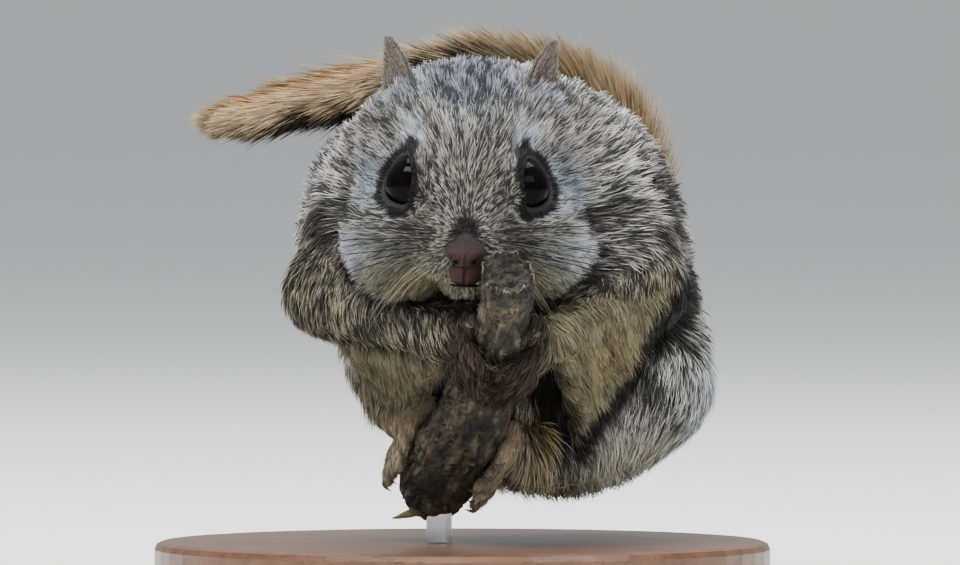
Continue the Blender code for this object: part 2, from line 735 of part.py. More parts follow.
def make_foot(side):
    """One hind foot: heel under the ankle and five toes against the side of the stub."""
    sign = 1 if side == "left" else -1
    foot = sole_form("foot_" + side, side)
    pieces = []
    for number in range(5):
        spread = (number - 2) * TOE_SPACING
        start = FOOT_SHARE[side] + spread * 0.75
        end = FOOT_SHARE[side] - TOE_DROP + spread
        last = TOE_END + 8 * abs(number - 2)
        pieces += digit(f"toe_{number}", (start, end), (sign * 120, sign * last), TOE_RADIUS, CLAW_LENGTH)
    fused(foot, pieces)
    carved(foot, stub_form("room", GAP), leg_form("room", side, GAP), trunk_form("room", GAP))
    return painted(foot, FUR_CREAM, 0.8)


# The gliding skin between each arm and leg

def triangle_field(points, corners, thickness):
    """Signed distance to a flat triangle with rounded rims, half as thick as thickness."""
    a, b, c = corners
    normal = unit(np.cross(b - a, c - a))
    level = (points - a) @ normal
    inside = np.ones(len(points), bool)
    nearest = np.full(len(points), np.inf)
    for start, end in ((a, b), (b, c), (c, a)):
        edge = end - start
        share = np.clip((points - start) @ edge / (edge @ edge), 0, 1)
        nearest = np.minimum(nearest, np.linalg.norm(points - start - share[:, None] * edge, axis=1))
        inside &= (points - start) @ np.cross(normal, edge) > 0
    return np.where(inside, np.abs(level), nearest) - thickness / 2


def gliding_skin_form(name, side, grow=0.0):
    """The furred sheet from wrist and elbow down to the ankle."""
    corners = GLIDE_CORNERS[side]
    centre = sum(corners) / 3
    normal = unit(np.cross(corners[1] - corners[0], corners[2] - corners[0]))
    return pushed_sphere(
        name, lambda p: triangle_field(p, corners, GLIDE_THICKNESS) - grow, centre, normal, 5, 22,
        squash=0.22,
    )


def make_gliding_skins():
    """Both sheets, each cut clear of the body, arm, leg, hand, foot and stub."""
    made = []
    for side in ("left", "right"):
        sheet = gliding_skin_form("patagium_" + side, side)
        carved(sheet, trunk_form("room", GAP), arm_form("room", side, GAP), leg_form("room", side, GAP))
        carved(sheet, stub_form("room", GAP), palm_form("room", side, GAP), sole_form("room", side, GAP))
        made.append(painted(sheet, FUR_CREAM, 0.9))
    return made


# The tail

def tail_frame(shares):
    """Centres, width directions and depth directions of the flat tail, which lies on the back."""
    line = np.vstack((TAIL_ROOT, laid_on(trunk_field, TAIL_ROUTE[1:], TAIL_HALF_DEPTH * 0.8)))
    centres = along_line(line, shares)
    ahead = directions_along(line, shares)
    free = np.clip((np.atleast_1d(shares) - TAIL_FREE_SHARES[0]) / np.ptp(TAIL_FREE_SHARES), 0, 1)[:, None]
    outward = away_from(trunk_field, centres) * (1 - free) + np.array((0.0, -0.2, 1.0)) * free
    depth = unit(outward - ahead * np.sum(outward * ahead, axis=1)[:, None])
    return centres, np.cross(depth, ahead), depth


def tail_fullness(shares):
    """How full the tail is along its length, 1 where it is fullest."""
    return np.interp(shares, (0, 0.07, 0.2, 0.8, 0.93, 1.0), (0.5, 0.78, 1.0, 0.96, 0.72, 0.3))


def lock(name, root, heading, normal, length, width, sag):
    """A flat tapered lock of hair, bent towards the sag direction."""
    steps = np.linspace(0, 1, 4)[:, None]
    centres = root + heading * length * steps + sag * length * steps**2
    ahead = unit(np.gradient(centres, axis=0))
    across = unit(np.cross(ahead, normal))
    facing = np.cross(across, ahead)
    half_width = width / 2 * np.array((0.75, 1.0, 0.88, 0.08))
    half_depth = LOCK_DEPTH / 2 * np.array((1.0, 1.0, 0.7, 0.15))
    return swept(name, centres, across, facing, half_width, half_depth, 3)


def tail_locks():
    """Locks in overlapping rows down both edges and both faces, and a fan at the tip."""
    draw = np.random.default_rng(TAIL_SEED)
    made = []
    for row, (offset, lift, splay, rise, stations) in enumerate(LOCK_ROWS):
        shares = np.linspace(*stations[:2], stations[2])
        centres, width, depth = tail_frame(shares)
        ahead = np.cross(width, depth)
        ahead *= np.sign(np.sum(ahead * directions_along(TAIL_ROUTE, shares), axis=1))[:, None]
        for k, full in enumerate(tail_fullness(shares)):
            jitter = draw.uniform(-1, 1, 4)
            turn = math.radians(splay + 4 * jitter[0])
            beside = width[k] * offset * TAIL_HALF_WIDTH + depth[k] * lift * TAIL_HALF_DEPTH
            root = centres[k] + full * beside
            heading = ahead[k] * math.cos(turn) + width[k] * math.sin(turn)
            heading = heading + depth[k] * (rise + 0.07 * jitter[1])
            normal = unit(depth[k] + width[k] * 0.18 * jitter[2] - ahead[k] * 0.12)
            reach = full * TAIL_HALF_WIDTH * (1 - abs(offset)) / max(abs(math.sin(turn)), 0.44)
            length = max(reach, mm(8.0)) * (1.0 + 0.10 * jitter[3])
            bend = ahead[k] * 0.12 - width[k] * math.sin(turn) * 0.42
            made.append(lock(f"lock_{row}_{k}", root, unit(heading), normal, length, LOCK_WIDTH, bend))
    return made


def make_tail():
    """The locked tail, made whole, laid on the back and parted into four lengths."""
    shares = np.linspace(0, 1, 20)
    centres, width, depth = tail_frame(shares)
    core = tail_fullness(shares) * CORE_SHARE
    tail = swept("tail", centres, width, depth, core * TAIL_HALF_WIDTH, core * TAIL_HALF_DEPTH * 1.35, 10)
    fused(tail, tail_locks())
    carved(tail, trunk_form("room", GAP))
    made = []
    bounds = (0.0, *TAIL_PARTINGS, 1.0)
    for name, start, end in zip(TAIL_NODES, bounds, bounds[1:]):
        length = tail.copy()
        length.data = tail.data.copy()
        length.name = name
        bpy.context.scene.collection.objects.link(length)
        made.append(painted(keep_between(length, start, end), FUR_BUFF, 0.9))
    bpy.data.objects.remove(tail)
    return made


def keep_between(obj, start, end):
    """Cuts a length of the tail free at the shares where it starts and ends."""
    cuts = [(share, sign) for share, sign in ((start, -1), (end, 1)) if 0 < share < 1]
    for share, sign in cuts:
        centres, width, depth = tail_frame(np.array((share,)))
        ahead = np.cross(width, depth)
        ahead *= np.sign(np.sum(ahead * directions_along(TAIL_ROUTE, share), axis=1))[:, None]
        near = centres - ahead * sign * GAP / 2
        far = centres + ahead * sign * mm(60.0)
        ends = np.vstack((near, far))
        sides = np.repeat(width, 2, axis=0), np.repeat(depth, 2, axis=0)
        carved(obj, swept("beyond", ends, *sides, np.full(2, mm(70.0)), np.full(2, mm(70.0)), 8))
    return obj


# The branch stub

def stub_rings(grow, rings, sides):
    """Centres, axes and ridged radii of the stub's bark."""
    shares = np.linspace(0, 1, rings)
    centres = along_line(STUB_LINE, shares)
    ahead = directions_along(STUB_LINE, shares)
    first = unit(np.cross(ahead, (0.0, 0.0, 1.0)))
    second = np.cross(first, ahead)
    radii = np.interp(shares, np.linspace(0, 1, len(STUB_RADII)), STUB_RADII) + grow
    turn = 2 * math.pi * np.arange(sides) / sides
    ridges = 0.035 * np.sin(5 * turn[None, :] + 9 * shares[:, None])
    ridges = ridges + 0.03 * np.sin(3 * turn[None, :] - 23 * shares[:, None])
    return centres, ahead, first, second, radii, 1 + ridges


def stub_form(name, grow=0.0, rings=18, sides=16):
    """The stub's barky length without its broken end."""
    centres, ahead, first, second, radii, ridges = stub_rings(grow, rings, sides)
    return swept(name, centres, first, second, radii, radii, sides, ridges)


def make_perch():
    """The stub: barky length, broken hollow end, knot and a hanging splinter."""
    rings, sides = 18, 16
    centres, ahead, first, second, radii, ridges = stub_rings(0.0, rings, sides)
    hollow = centres[-1] - ahead[-1] * mm(1.3)
    centres = np.vstack((centres, hollow))
    first = np.vstack((first, first[-1]))
    second = np.vstack((second, second[-1]))
    radii = np.append(radii, radii[-1] * 0.66)
    ridges = np.vstack((ridges, ridges[-1]))
    perch = swept("perch_stub", centres, first, second, radii, radii, sides, ridges)
    mesh = perch.data
    turn = 2 * math.pi * np.arange(sides) / sides
    points = np.zeros(3 * len(mesh.vertices))
    mesh.vertices.foreach_get("co", points)
    points = points.reshape(-1, 3)
    teeth = mm(0.55) * np.sin(5 * turn) + mm(0.45) * np.sin(8 * turn + 1.0)
    points[(rings - 1) * sides:rings * sides] += teeth[:, None] * ahead[-1]
    points[-1] -= ahead[-1] * mm(0.5)
    mesh.vertices.foreach_set("co", points.ravel())
    knot = pushed_sphere(
        "knot", lambda p: ellipsoid(p, KNOT_CENTRE, KNOT_RADII), KNOT_CENTRE, (-1, -0.4, 0), 6, 10,
        reach=0.02,
    )
    splinter = taper("splinter", SPLINTER_LINE, mm(1.2, 1.1, 0.8, 0.3), rings=6, flat=0.45)
    fused(perch, [knot, splinter])
    carved(perch, rod_form("rod_room", GAP))
    return painted(perch, BARK_BROWN, 0.85)


# The stand

def rod_form(name, grow=0.0):
    """The rod, with a chamfered top."""
    top = ROD_TOP + grow
    heights = np.array((BASE_SIZE[2] + GAP - grow, top - ROD_CHAMFER, top))
    centres = np.column_stack((np.full(3, ROD_PLACE[0]), np.full(3, ROD_PLACE[1]), heights))
    radii = np.array((ROD_RADIUS, ROD_RADIUS, ROD_RADIUS - ROD_CHAMFER)) + grow
    across = np.tile((1.0, 0.0, 0.0), (3, 1))
    upward = np.tile((0.0, 1.0, 0.0), (3, 1))
    return swept(name, centres, across, upward, radii, radii, 24)


def make_stand():
    """An oval base and one short rod up into the stub."""
    bottom = bmesh.new()
    bmesh.ops.create_cone(bottom, cap_ends=True, segments=56, radius1=0.5, radius2=0.5, depth=1.0)
    bmesh.ops.scale(bottom, vec=Vector(BASE_SIZE), verts=bottom.verts)
    bmesh.ops.translate(bottom, vec=(0, 0, BASE_SIZE[2] / 2), verts=bottom.verts)
    mesh = bpy.data.meshes.new("stand_base")
    bottom.to_mesh(mesh)
    bottom.free()
    base = bpy.data.objects.new("stand_base", mesh)
    bpy.context.scene.collection.objects.link(base)
    bevel = base.modifiers.new("Edge", "BEVEL")
    bevel.width = BASE_BEVEL
    bevel.segments = 2
    bevel.limit_method = "ANGLE"
    bevel.angle_limit = math.radians(50)
    return [painted(base, WALNUT, 0.45), painted(rod_form("stand_rod"), STEEL, 0.3, 1.0)]


def main():
    """Builds every piece."""
    for obj in list(bpy.data.objects):
        bpy.data.objects.remove(obj)
    make_head()
    make_trunk()
    make_limbs()
    for side in ("left", "right"):
        make_hand(side)
        make_foot(side)
    make_gliding_skins()
    make_tail()
    make_perch()
    make_stand()


main()
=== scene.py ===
"""Looks of a life-size flying squirrel that hugs a branch stub on a small display stand.

Lengths inside are millimetres in the model's own frame, +Z up, with the animal facing -Y.
put_mesh turns them to metres. "Left" and "right" are the animal's own.
"""

import logging
import math
from dataclasses import dataclass, field
from enum import Enum
from typing import Callable, Iterator, Sequence

import bpy
import numpy as np
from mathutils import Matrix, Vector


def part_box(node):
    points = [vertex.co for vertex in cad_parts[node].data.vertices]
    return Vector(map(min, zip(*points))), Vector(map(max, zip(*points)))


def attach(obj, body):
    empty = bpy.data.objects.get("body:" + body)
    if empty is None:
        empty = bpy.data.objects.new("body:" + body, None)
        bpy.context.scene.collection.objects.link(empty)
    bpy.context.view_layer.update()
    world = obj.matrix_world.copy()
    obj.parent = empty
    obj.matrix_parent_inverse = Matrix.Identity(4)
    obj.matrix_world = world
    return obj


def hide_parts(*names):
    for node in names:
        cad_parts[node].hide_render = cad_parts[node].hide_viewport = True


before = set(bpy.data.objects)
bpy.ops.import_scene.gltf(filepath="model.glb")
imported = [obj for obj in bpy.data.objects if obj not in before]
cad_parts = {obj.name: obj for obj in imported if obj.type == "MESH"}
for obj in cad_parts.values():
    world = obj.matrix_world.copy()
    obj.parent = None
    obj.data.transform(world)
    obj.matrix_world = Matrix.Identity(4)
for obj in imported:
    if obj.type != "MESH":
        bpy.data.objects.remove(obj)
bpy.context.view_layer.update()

log = logging.getLogger("squirrel")
Array = np.ndarray
Field = Callable[[Array], Array]
Piece = bpy.types.Object
Tree = bpy.types.NodeTree
Node = bpy.types.Node
Socket = bpy.types.NodeSocket
MM = 0.001
SEED = 11
SIDES = {"left": 1.0, "right": -1.0}


# Small numpy helpers

def smooth(value: Array, low: float, high: float) -> Array:
    """0 below low, 1 above high, and a smooth S between them."""
    t = np.clip((value - low) / (high - low), 0.0, 1.0)
    return t * t * (3 - 2 * t)


def unit(vectors: Array) -> Array:
    """Each vector at length 1."""
    vectors = np.asarray(vectors, float)
    return vectors / np.maximum(np.linalg.norm(vectors, axis=-1, keepdims=True), 1e-9)


def along_surface(vectors: Array, normals: Array) -> Array:
    """The vectors with their part along the normals taken out, at length 1."""
    return unit(vectors - normals * np.sum(vectors * normals, axis=-1, keepdims=True))


def waves(points: Array, size: float, seed: int, count: int = 14) -> Array:
    """Smooth noise between about -1 and 1.

    It is the sum of a few sine waves in random directions, whose lengths are near size, held
    within 1.6 by a tanh.

    Args:
        points: Places in mm, one row each.
        size: Length of one bump in mm.
        seed: Seed of the waves.
        count: Number of waves.

    Returns:
        One number for each point.
    """
    draw = np.random.default_rng(seed)
    ways = unit(draw.normal(size=(count, 3)))
    ways = ways * (2 * math.pi / (size * draw.uniform(1.4, 2.8, (count, 1))))
    phases = draw.uniform(0, 2 * math.pi, count)
    total = np.sin(points @ ways.T + phases).sum(axis=1) * math.sqrt(1.6 / count)
    return 1.6 * np.tanh(total / 1.6)


def smooth_curve(points: Sequence, shares: Array) -> Array:
    """A Catmull-Rom curve through the points, read at shares 0 to 1 of its length.

    Each stretch is the cubic that passes its two ends with slopes set by their neighbours.

    Args:
        points: Points that the curve passes, in mm.
        shares: Where to read it.

    Returns:
        One row for each share.
    """
    points = np.asarray(points, float)
    ends = np.vstack((2 * points[0] - points[1], points, 2 * points[-1] - points[-2]))
    dense = np.linspace(0, len(points) - 1, 40 * len(points))
    spot = np.minimum(dense.astype(int), len(points) - 2)
    t = (dense - spot)[:, None]
    a, b, c, d = (ends[spot + k] for k in range(4))
    square, cube = 2 * a - 5 * b + 4 * c - d, 3 * b - a - 3 * c + d
    curve = 0.5 * (2 * b + (c - a) * t + square * t**2 + cube * t**3)
    run = np.concatenate(([0.0], np.cumsum(np.linalg.norm(np.diff(curve, axis=0), axis=1))))
    wanted = np.atleast_1d(shares) * run[-1]
    return np.column_stack([np.interp(wanted, run, curve[:, k]) for k in range(3)])


def curve_directions(points: Sequence, shares: Array, step: float = 0.01) -> Array:
    """Unit directions of the smooth curve at these shares."""
    shares = np.atleast_1d(shares)
    ahead = smooth_curve(points, np.clip(shares + step, 0, 1))
    return unit(ahead - smooth_curve(points, np.clip(shares - step, 0, 1)))


def whole_turn(count: int) -> Array:
    """Angles evenly spread round a full turn."""
    return 2 * math.pi * np.arange(count) / count


def spokes_at(turn: Array, first: Array, second: Array) -> Array:
    """Spokes cos(a) first + sin(a) second: a row for each pair of spokes, a column for each angle."""
    first, second = first[:, None, :], second[:, None, :]
    return np.cos(turn)[None, :, None] * first + np.sin(turn)[None, :, None] * second


def folded(points: Array) -> Array:
    """The places with each X as its distance from the middle, so that one form does for both sides."""
    return np.column_stack((np.abs(points[:, 0]), points[:, 1:]))


def node_middle(name: str) -> Array:
    """The middle of a solid's box, in mm."""
    low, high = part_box(name)
    return (np.array(low) + np.array(high)) / 2 / MM


# Distances to simple forms, negative inside

def egg(points: Array, centre: Sequence, radii: Sequence, pitch: float = 0.0) -> Array:
    """Near distance to an ellipsoid, turned about X by pitch degrees.

    With q the point over the radii and s the point over their squares, it is |q| (|q| - 1) / |s|.

    Args:
        points: Places in mm.
        centre: Its middle.
        radii: Its half sizes.
        pitch: Its turn about X in degrees.

    Returns:
        One distance for each point.
    """
    local = points - np.asarray(centre, float)
    if pitch:
        turn = math.radians(pitch)
        y = local[:, 1] * math.cos(turn) + local[:, 2] * math.sin(turn)
        z = local[:, 2] * math.cos(turn) - local[:, 1] * math.sin(turn)
        local = np.column_stack((local[:, 0], y, z))
    inner = np.linalg.norm(local / radii, axis=1)
    slope = np.linalg.norm(local / np.square(radii), axis=1)
    return inner * (inner - 1.0) / np.maximum(slope, 1e-9)


def limb(points: Array, line: Sequence, radii: Sequence, blend: float = 0.0) -> Array:
    """Distance to a chain of tapered lengths between balls, each blended with the one before.

    Args:
        points: Places in mm.
        line: The balls' centres.
        radii: The balls' radii.
        blend: How softly two lengths meet.

    Returns:
        One distance for each point.
    """
    result = None
    for start, end, first, last in zip(line, line[1:], radii, radii[1:]):
        start, along = np.asarray(start, float), np.asarray(end, float) - np.asarray(start, float)
        share = np.clip((points - start) @ along / (along @ along), 0.0, 1.0)
        distance = np.linalg.norm(points - start - share[:, None] * along, axis=1)
        distance = distance - first - (last - first) * share
        result = distance if result is None else melt(result, distance, blend)
    return result


def melt(first: Array, second: Array, blend: float) -> Array:
    """The lesser of two distances, rounded over the length blend."""
    if blend <= 0:
        return np.minimum(first, second)
    share = np.clip(0.5 + 0.5 * (second - first) / blend, 0.0, 1.0)
    return second * (1 - share) + first * share - blend * share * (1 - share)


def outward(form: Field, points: Array, step: float = 0.3) -> Array:
    """Unit directions in which a distance grows fastest: its slope over a small step each way."""
    slopes = [form(points + axis * step) - form(points - axis * step) for axis in np.eye(3)]
    return unit(np.column_stack(slopes))


# Meshes

def put_mesh(name: str, vertices: Array, faces: Array, smooth_shaded: bool = True) -> Piece:
    """Makes a mesh object from arrays.

    Args:
        name: The piece's name.
        vertices: Places in mm, one row each.
        faces: Vertex numbers, three or four a row.
        smooth_shaded: Whether its faces are shaded smooth.

    Returns:
        The linked object, at the origin.
    """
    mesh = bpy.data.meshes.new(name)
    count, corners = faces.shape
    mesh.vertices.add(len(vertices))
    mesh.vertices.foreach_set("co", (np.asarray(vertices, np.float32) * MM).ravel())
    mesh.loops.add(count * corners)
    mesh.loops.foreach_set("vertex_index", faces.astype(np.int32).ravel())
    mesh.polygons.add(count)
    mesh.polygons.foreach_set("loop_start", np.arange(0, count * corners, corners, dtype=np.int32))
    mesh.polygons.foreach_set("use_smooth", np.full(count, smooth_shaded))
    mesh.update(calc_edges=True)
    mesh.validate()
    obj = bpy.data.objects.new(name, mesh)
    bpy.context.scene.collection.objects.link(obj)
    return obj


def set_colours(obj: Piece, name: str, colours: Array) -> None:
    """Stores linear colours on the piece's vertices."""
    layer = obj.data.attributes.new(name, "FLOAT_COLOR", "POINT")
    rgba = np.column_stack((colours, np.ones(len(colours)))).astype(np.float32)
    layer.data.foreach_set("color", rgba.ravel())


def set_map(obj: Piece, places: Array, name: str = "OFBake") -> None:
    """Stores a UV map given by vertex."""
    mesh = obj.data
    corner = np.zeros(len(mesh.loops), np.int32)
    mesh.loops.foreach_get("vertex_index", corner)
    layer = mesh.uv_layers.new(name=name)
    layer.data.foreach_set("uv", places[corner].astype(np.float32).ravel())


def grid_faces(rows: int, columns: int, around: bool = False, start: int = 0) -> Array:
    """Quads of a grid of rows by columns vertices, closed round its columns if around."""
    last = columns if around else columns - 1
    row, column = np.meshgrid(np.arange(rows - 1), np.arange(last), indexing="ij")
    after = (column + 1) % columns
    low, high = row * columns, (row + 1) * columns
    quads = np.stack((low + column, low + after, high + after, high + column), axis=-1)
    return quads.reshape(-1, 4) + start


def tube(centres: Array, first: Array, second: Array, sides: int) -> tuple[Array, Array]:
    """A closed tube: ring k is centre k + cos(a) first k + sin(a) second k, its ends drawn to points.

    Args:
        centres: Middles of the rings.
        first: Spokes of the rings at angle 0.
        second: Spokes at a quarter turn.
        sides: Vertices in a ring.

    Returns:
        Vertices and quads, with the end rings shrunk to nearly a point so that the skin is closed.
    """
    spokes = spokes_at(whole_turn(sides), first, second)
    rings = centres[:, None, :] + spokes
    ends = centres[[0, -1], None, :] + spokes[[0, -1]] * 0.02
    rings = np.concatenate((ends[:1], rings, ends[1:]))
    faces = grid_faces(len(rings), sides, around=True)
    return rings.reshape(-1, 3), faces


def tapered(line: Sequence, radii: Sequence, sides: int, rings: int) -> tuple[Array, Array]:
    """A round tube along the smooth curve through line, with radii spread evenly along it."""
    shares = np.linspace(0, 1, rings)
    centres = smooth_curve(line, shares)
    ahead = curve_directions(line, shares, 0.5 / rings)
    helper = np.array((0.0, 0.0, 1.0)) if abs(ahead[0, 2]) < 0.8 else np.array((1.0, 0.0, 0.0))
    first = unit(np.cross(ahead, helper))
    size = np.interp(shares, np.linspace(0, 1, len(radii)), radii)[:, None]
    return tube(centres, np.cross(first, ahead) * size, first * size, sides)


def joined(parts: Sequence[tuple[Array, Array]]) -> tuple[Array, Array]:
    """Several meshes' vertices and faces as one."""
    starts = np.cumsum([0] + [len(vertices) for vertices, _ in parts[:-1]])
    faces = [faces + start for (_, faces), start in zip(parts, starts)]
    return np.vstack([vertices for vertices, _ in parts]), np.vstack(faces)


CORNERS = [(i, j, k) for i in (0, 1) for j in (0, 1) for k in (0, 1)]
STEPS = np.eye(3, dtype=int)


def grid_values(form: Field, low: Array, counts: Array, cell: float) -> Array:
    """A distance at every corner of a grid, worked out one slab along X at a time."""
    axes = [low[k] + cell * np.arange(counts[k]) for k in range(3)]
    y, z = np.meshgrid(axes[1], axes[2], indexing="ij")
    values = np.empty(counts)
    for number, x in enumerate(axes[0]):
        slab = np.column_stack((np.full(y.size, x), y.ravel(), z.ravel()))
        values[number] = form(slab).reshape(y.shape)
    return values


def mean_cuts(values: Array, cells: Array) -> Array:
    """The mean of the places where the surface cuts each cell's edges, in cells from its low corner."""
    place, cuts = np.zeros((len(cells), 3)), np.zeros((len(cells), 1))
    for first in CORNERS:
        for axis, step in enumerate(STEPS):
            if first[axis]:
                continue
            near = values[tuple((cells + first).T)]
            far = values[tuple((cells + first + step).T)]
            cut = ((near < 0) != (far < 0))[:, None]
            share = (near / np.where(near == far, 1.0, near - far))[:, None]
            place += np.where(cut, np.array(first) + share * step, 0.0)
            cuts += cut
    return place / cuts


def cell_quads(inside: Array, index: Array) -> Array:
    """One quad for each grid edge that the surface cuts, of the four cells round that edge.

    Args:
        inside: Whether each grid corner is inside.
        index: Number of each cell's vertex.

    Returns:
        Vertex numbers, four a row, facing out.
    """
    faces = []
    for axis, step in enumerate(STEPS):
        one, two = STEPS[(axis + 1) % 3], STEPS[(axis + 2) % 3]
        trimmed = tuple(slice(0, -1) if k == axis else slice(1, -1) for k in range(3))
        moved = tuple(slice(1, None) if k == axis else slice(1, -1) for k in range(3))
        here, there = inside[trimmed], inside[moved]
        for crossing, flip in ((here & ~there, False), (~here & there, True)):
            spot = np.argwhere(crossing) + 1 - step
            around = [spot, spot - one, spot - one - two, spot - two]
            quad = np.column_stack([index[tuple(c.T)] for c in around])
            faces.append(quad[:, ::-1] if flip else quad)
    return np.vstack(faces)


def net(form: Field, low: Array, high: Array, cell: float) -> tuple[Array, Array]:
    """The closed surface where a distance is zero.

    Each grid cell that the surface passes gets one vertex, and each grid edge that it cuts one
    quad. Last, each vertex slides along the slope until its distance is zero.

    Args:
        form: The distance.
        low: Lowest corner of the grid.
        high: Highest corner.
        cell: Cell size in mm.

    Returns:
        Vertices and quads, facing out.
    """
    counts = np.ceil((high - low) / cell).astype(int) + 1
    values = grid_values(form, low, counts, cell)
    inside = values < 0
    spans = [slice(0, -1), slice(1, None)]
    total = sum(inside[spans[i], spans[j], spans[k]].astype(int) for i, j, k in CORNERS)
    cells = np.argwhere((total > 0) & (total < 8))
    index = np.full(counts - 1, -1)
    index[tuple(cells.T)] = np.arange(len(cells))
    vertices = low + cell * (cells + mean_cuts(values, cells))
    for _ in range(3):
        vertices = vertices - outward(form, vertices, cell / 2) * form(vertices)[:, None]
    return vertices, cell_quads(inside, index)


# Colours and finishes

def linear(code: str) -> Array:
    """An sRGB colour such as "8f8a80" as linear red, green and blue."""
    srgb = np.array([int(code[k:k + 2], 16) for k in (0, 2, 4)]) / 255
    return np.where(srgb <= 0.04045, srgb / 12.92, ((srgb + 0.055) / 1.055) ** 2.4)


def rgba(code: str) -> tuple:
    """The linear colour with full alpha, as a socket takes it."""
    return (*linear(code), 1)


def connect(tree: Tree, node: Node, **links: object) -> None:
    """Sets or links a node's input sockets.

    Args:
        tree: The material's node tree.
        node: The node.
        **links: Input sockets by name, with _ for a space, or in_0, in_1 by place: a value, or an
            output socket to link.
    """
    for name, value in links.items():
        socket = node.inputs[int(name[3:]) if name.startswith("in_") else name.replace("_", " ")]
        if isinstance(value, Socket):
            tree.links.new(value, socket)
        else:
            socket.default_value = value


def add_node(tree: Tree, kind: str, settings: dict | None = None, **links: object) -> Node:
    """Adds a node.

    Args:
        tree: The material's node tree.
        kind: Blender's name for the node.
        settings: Properties of the node, by name.
        **links: Its input sockets, as connect takes them.

    Returns:
        The node.
    """
    node = tree.nodes.new(kind)
    for name, value in (settings or {}).items():
        setattr(node, name, value)
    connect(tree, node, **links)
    return node


def new_material(name: str) -> tuple[bpy.types.Material, Tree, Node]:
    """An empty material with a Principled shader joined to its output."""
    material = bpy.data.materials.new(name)
    material.use_nodes = True
    return material, material.node_tree, material.node_tree.nodes["Principled BSDF"]


@dataclass(frozen=True)
class Finish:
    """A finish named for its real material. Each kind wires its own nodes."""

    name: str

    def material(self) -> bpy.types.Material:
        """A material with a Principled shader, wired by the finish."""
        material, tree, shader = new_material(self.name)
        self.wire(tree, shader, add_node(tree, "ShaderNodeTexCoord").outputs["Object"])
        return material

    def wire(self, tree: Tree, shader: Node, place: Socket) -> None:
        """Adds the finish's own nodes.

        Args:
            tree: The material's node tree.
            shader: Its Principled shader.
            place: The socket that gives places on the piece, in metres.
        """
        raise NotImplementedError


@dataclass(frozen=True)
class FurFinish(Finish):
    """Guard hair and underfur: soft, slightly waxy hair that each tuft's own colours tint."""

    roughness: float = 0.7
    sheen: float = 0.04

    def wire(self, tree: Tree, shader: Node, place: Socket) -> None:
        """Hair coloured by the tuft's own colours, with a fine mottle that keeps it from looking dyed."""
        colour = add_node(tree, "ShaderNodeAttribute", {"attribute_name": "coat"})
        # Mottle about 1.2 mm across, the size of a few hairs together
        mottle = add_node(tree, "ShaderNodeTexNoise", Vector=place, Scale=800.0, Detail=2.0)
        shade = add_node(tree, "ShaderNodeMapRange", Value=mottle.outputs["Fac"], To_Min=0.78, To_Max=1.22)
        mixed = add_node(tree, "ShaderNodeVectorMath", {"operation": "SCALE"},
                         in_0=colour.outputs["Color"], Scale=shade.outputs["Result"])
        connect(tree, shader, Base_Color=mixed.outputs["Vector"], Roughness=self.roughness,
                Specular_IOR_Level=0.22, Sheen_Weight=self.sheen, Sheen_Roughness=0.5)


@dataclass(frozen=True)
class SkinFinish(Finish):
    """Skin under the coat: dull, with the underfur's shade and a nap of short down."""

    name: str = "skin_with_down"
    grain: float = 0.5

    def wire(self, tree: Tree, shader: Node, place: Socket) -> None:
        """Skin tinted by its own markings, with a bump of down about half a millimetre apart."""
        colour = add_node(tree, "ShaderNodeAttribute", {"attribute_name": "coat"})
        down = add_node(tree, "ShaderNodeTexNoise", Vector=place, Scale=1 / (self.grain * MM), Detail=3.0)
        bump = add_node(tree, "ShaderNodeBump", Height=down.outputs["Fac"], Strength=0.5, Distance=0.0003)
        connect(tree, shader, Base_Color=colour.outputs["Color"], Normal=bump.outputs["Normal"],
                Roughness=0.85)


@dataclass(frozen=True)
class GlassEyeFinish(Finish):
    """Black glass eye, as a preparator sets, with the low reflection of a wet cornea."""

    name: str = "black_glass"

    def wire(self, tree: Tree, shader: Node, place: Socket) -> None:
        """Near black with a faint brown depth, so that only lights show on it."""
        depth = add_node(tree, "ShaderNodeTexNoise", Vector=place, Scale=400.0, Detail=1.0)
        mixed = add_node(tree, "ShaderNodeMix", {"data_type": "RGBA"}, Factor=depth.outputs["Fac"],
                         in_6=rgba("030304"), in_7=rgba("0b0706"))
        connect(tree, shader, Base_Color=mixed.outputs[2], Roughness=0.05, IOR=1.12)


@dataclass(frozen=True)
class BareSkinFinish(Finish):
    """Bare, slightly moist skin, as on a nose pad, lips, lids and toes: fine pebbles and soft light."""

    pale: str
    dark: str
    pebble: float = 0.35
    roughness: float = 0.5
    bump: float = 0.35
    shine: float = 0.5
    tinted: bool = False

    def wire(self, tree: Tree, shader: Node, place: Socket) -> None:
        """Two skin shades in soft patches, with a bump of pebbles of the given size in mm.

        A tinted finish is darkened by the colours stored on the piece, which on the nose are its darker top
        and painted shade in its nostrils.
        """
        patch = add_node(tree, "ShaderNodeTexNoise", Vector=place, Scale=550.0, Detail=4.0)
        mixed = add_node(tree, "ShaderNodeMix", {"data_type": "RGBA"}, Factor=patch.outputs["Fac"],
                         in_6=rgba(self.dark), in_7=rgba(self.pale))
        pebbles = add_node(tree, "ShaderNodeTexVoronoi", Vector=place, Scale=1 / (self.pebble * MM))
        bump = add_node(tree, "ShaderNodeBump", Height=pebbles.outputs["Distance"], Strength=self.bump,
                        Distance=0.0002)
        colour = mixed.outputs[2]
        if self.tinted:
            tint = add_node(tree, "ShaderNodeAttribute", {"attribute_name": "tint"})
            colour = add_node(tree, "ShaderNodeVectorMath", {"operation": "MULTIPLY"},
                              in_0=colour, in_1=tint.outputs["Color"]).outputs["Vector"]
        connect(tree, shader, Base_Color=colour, Normal=bump.outputs["Normal"], Roughness=self.roughness,
                Specular_IOR_Level=self.shine, Subsurface_Weight=0.12, Subsurface_Scale=0.001)


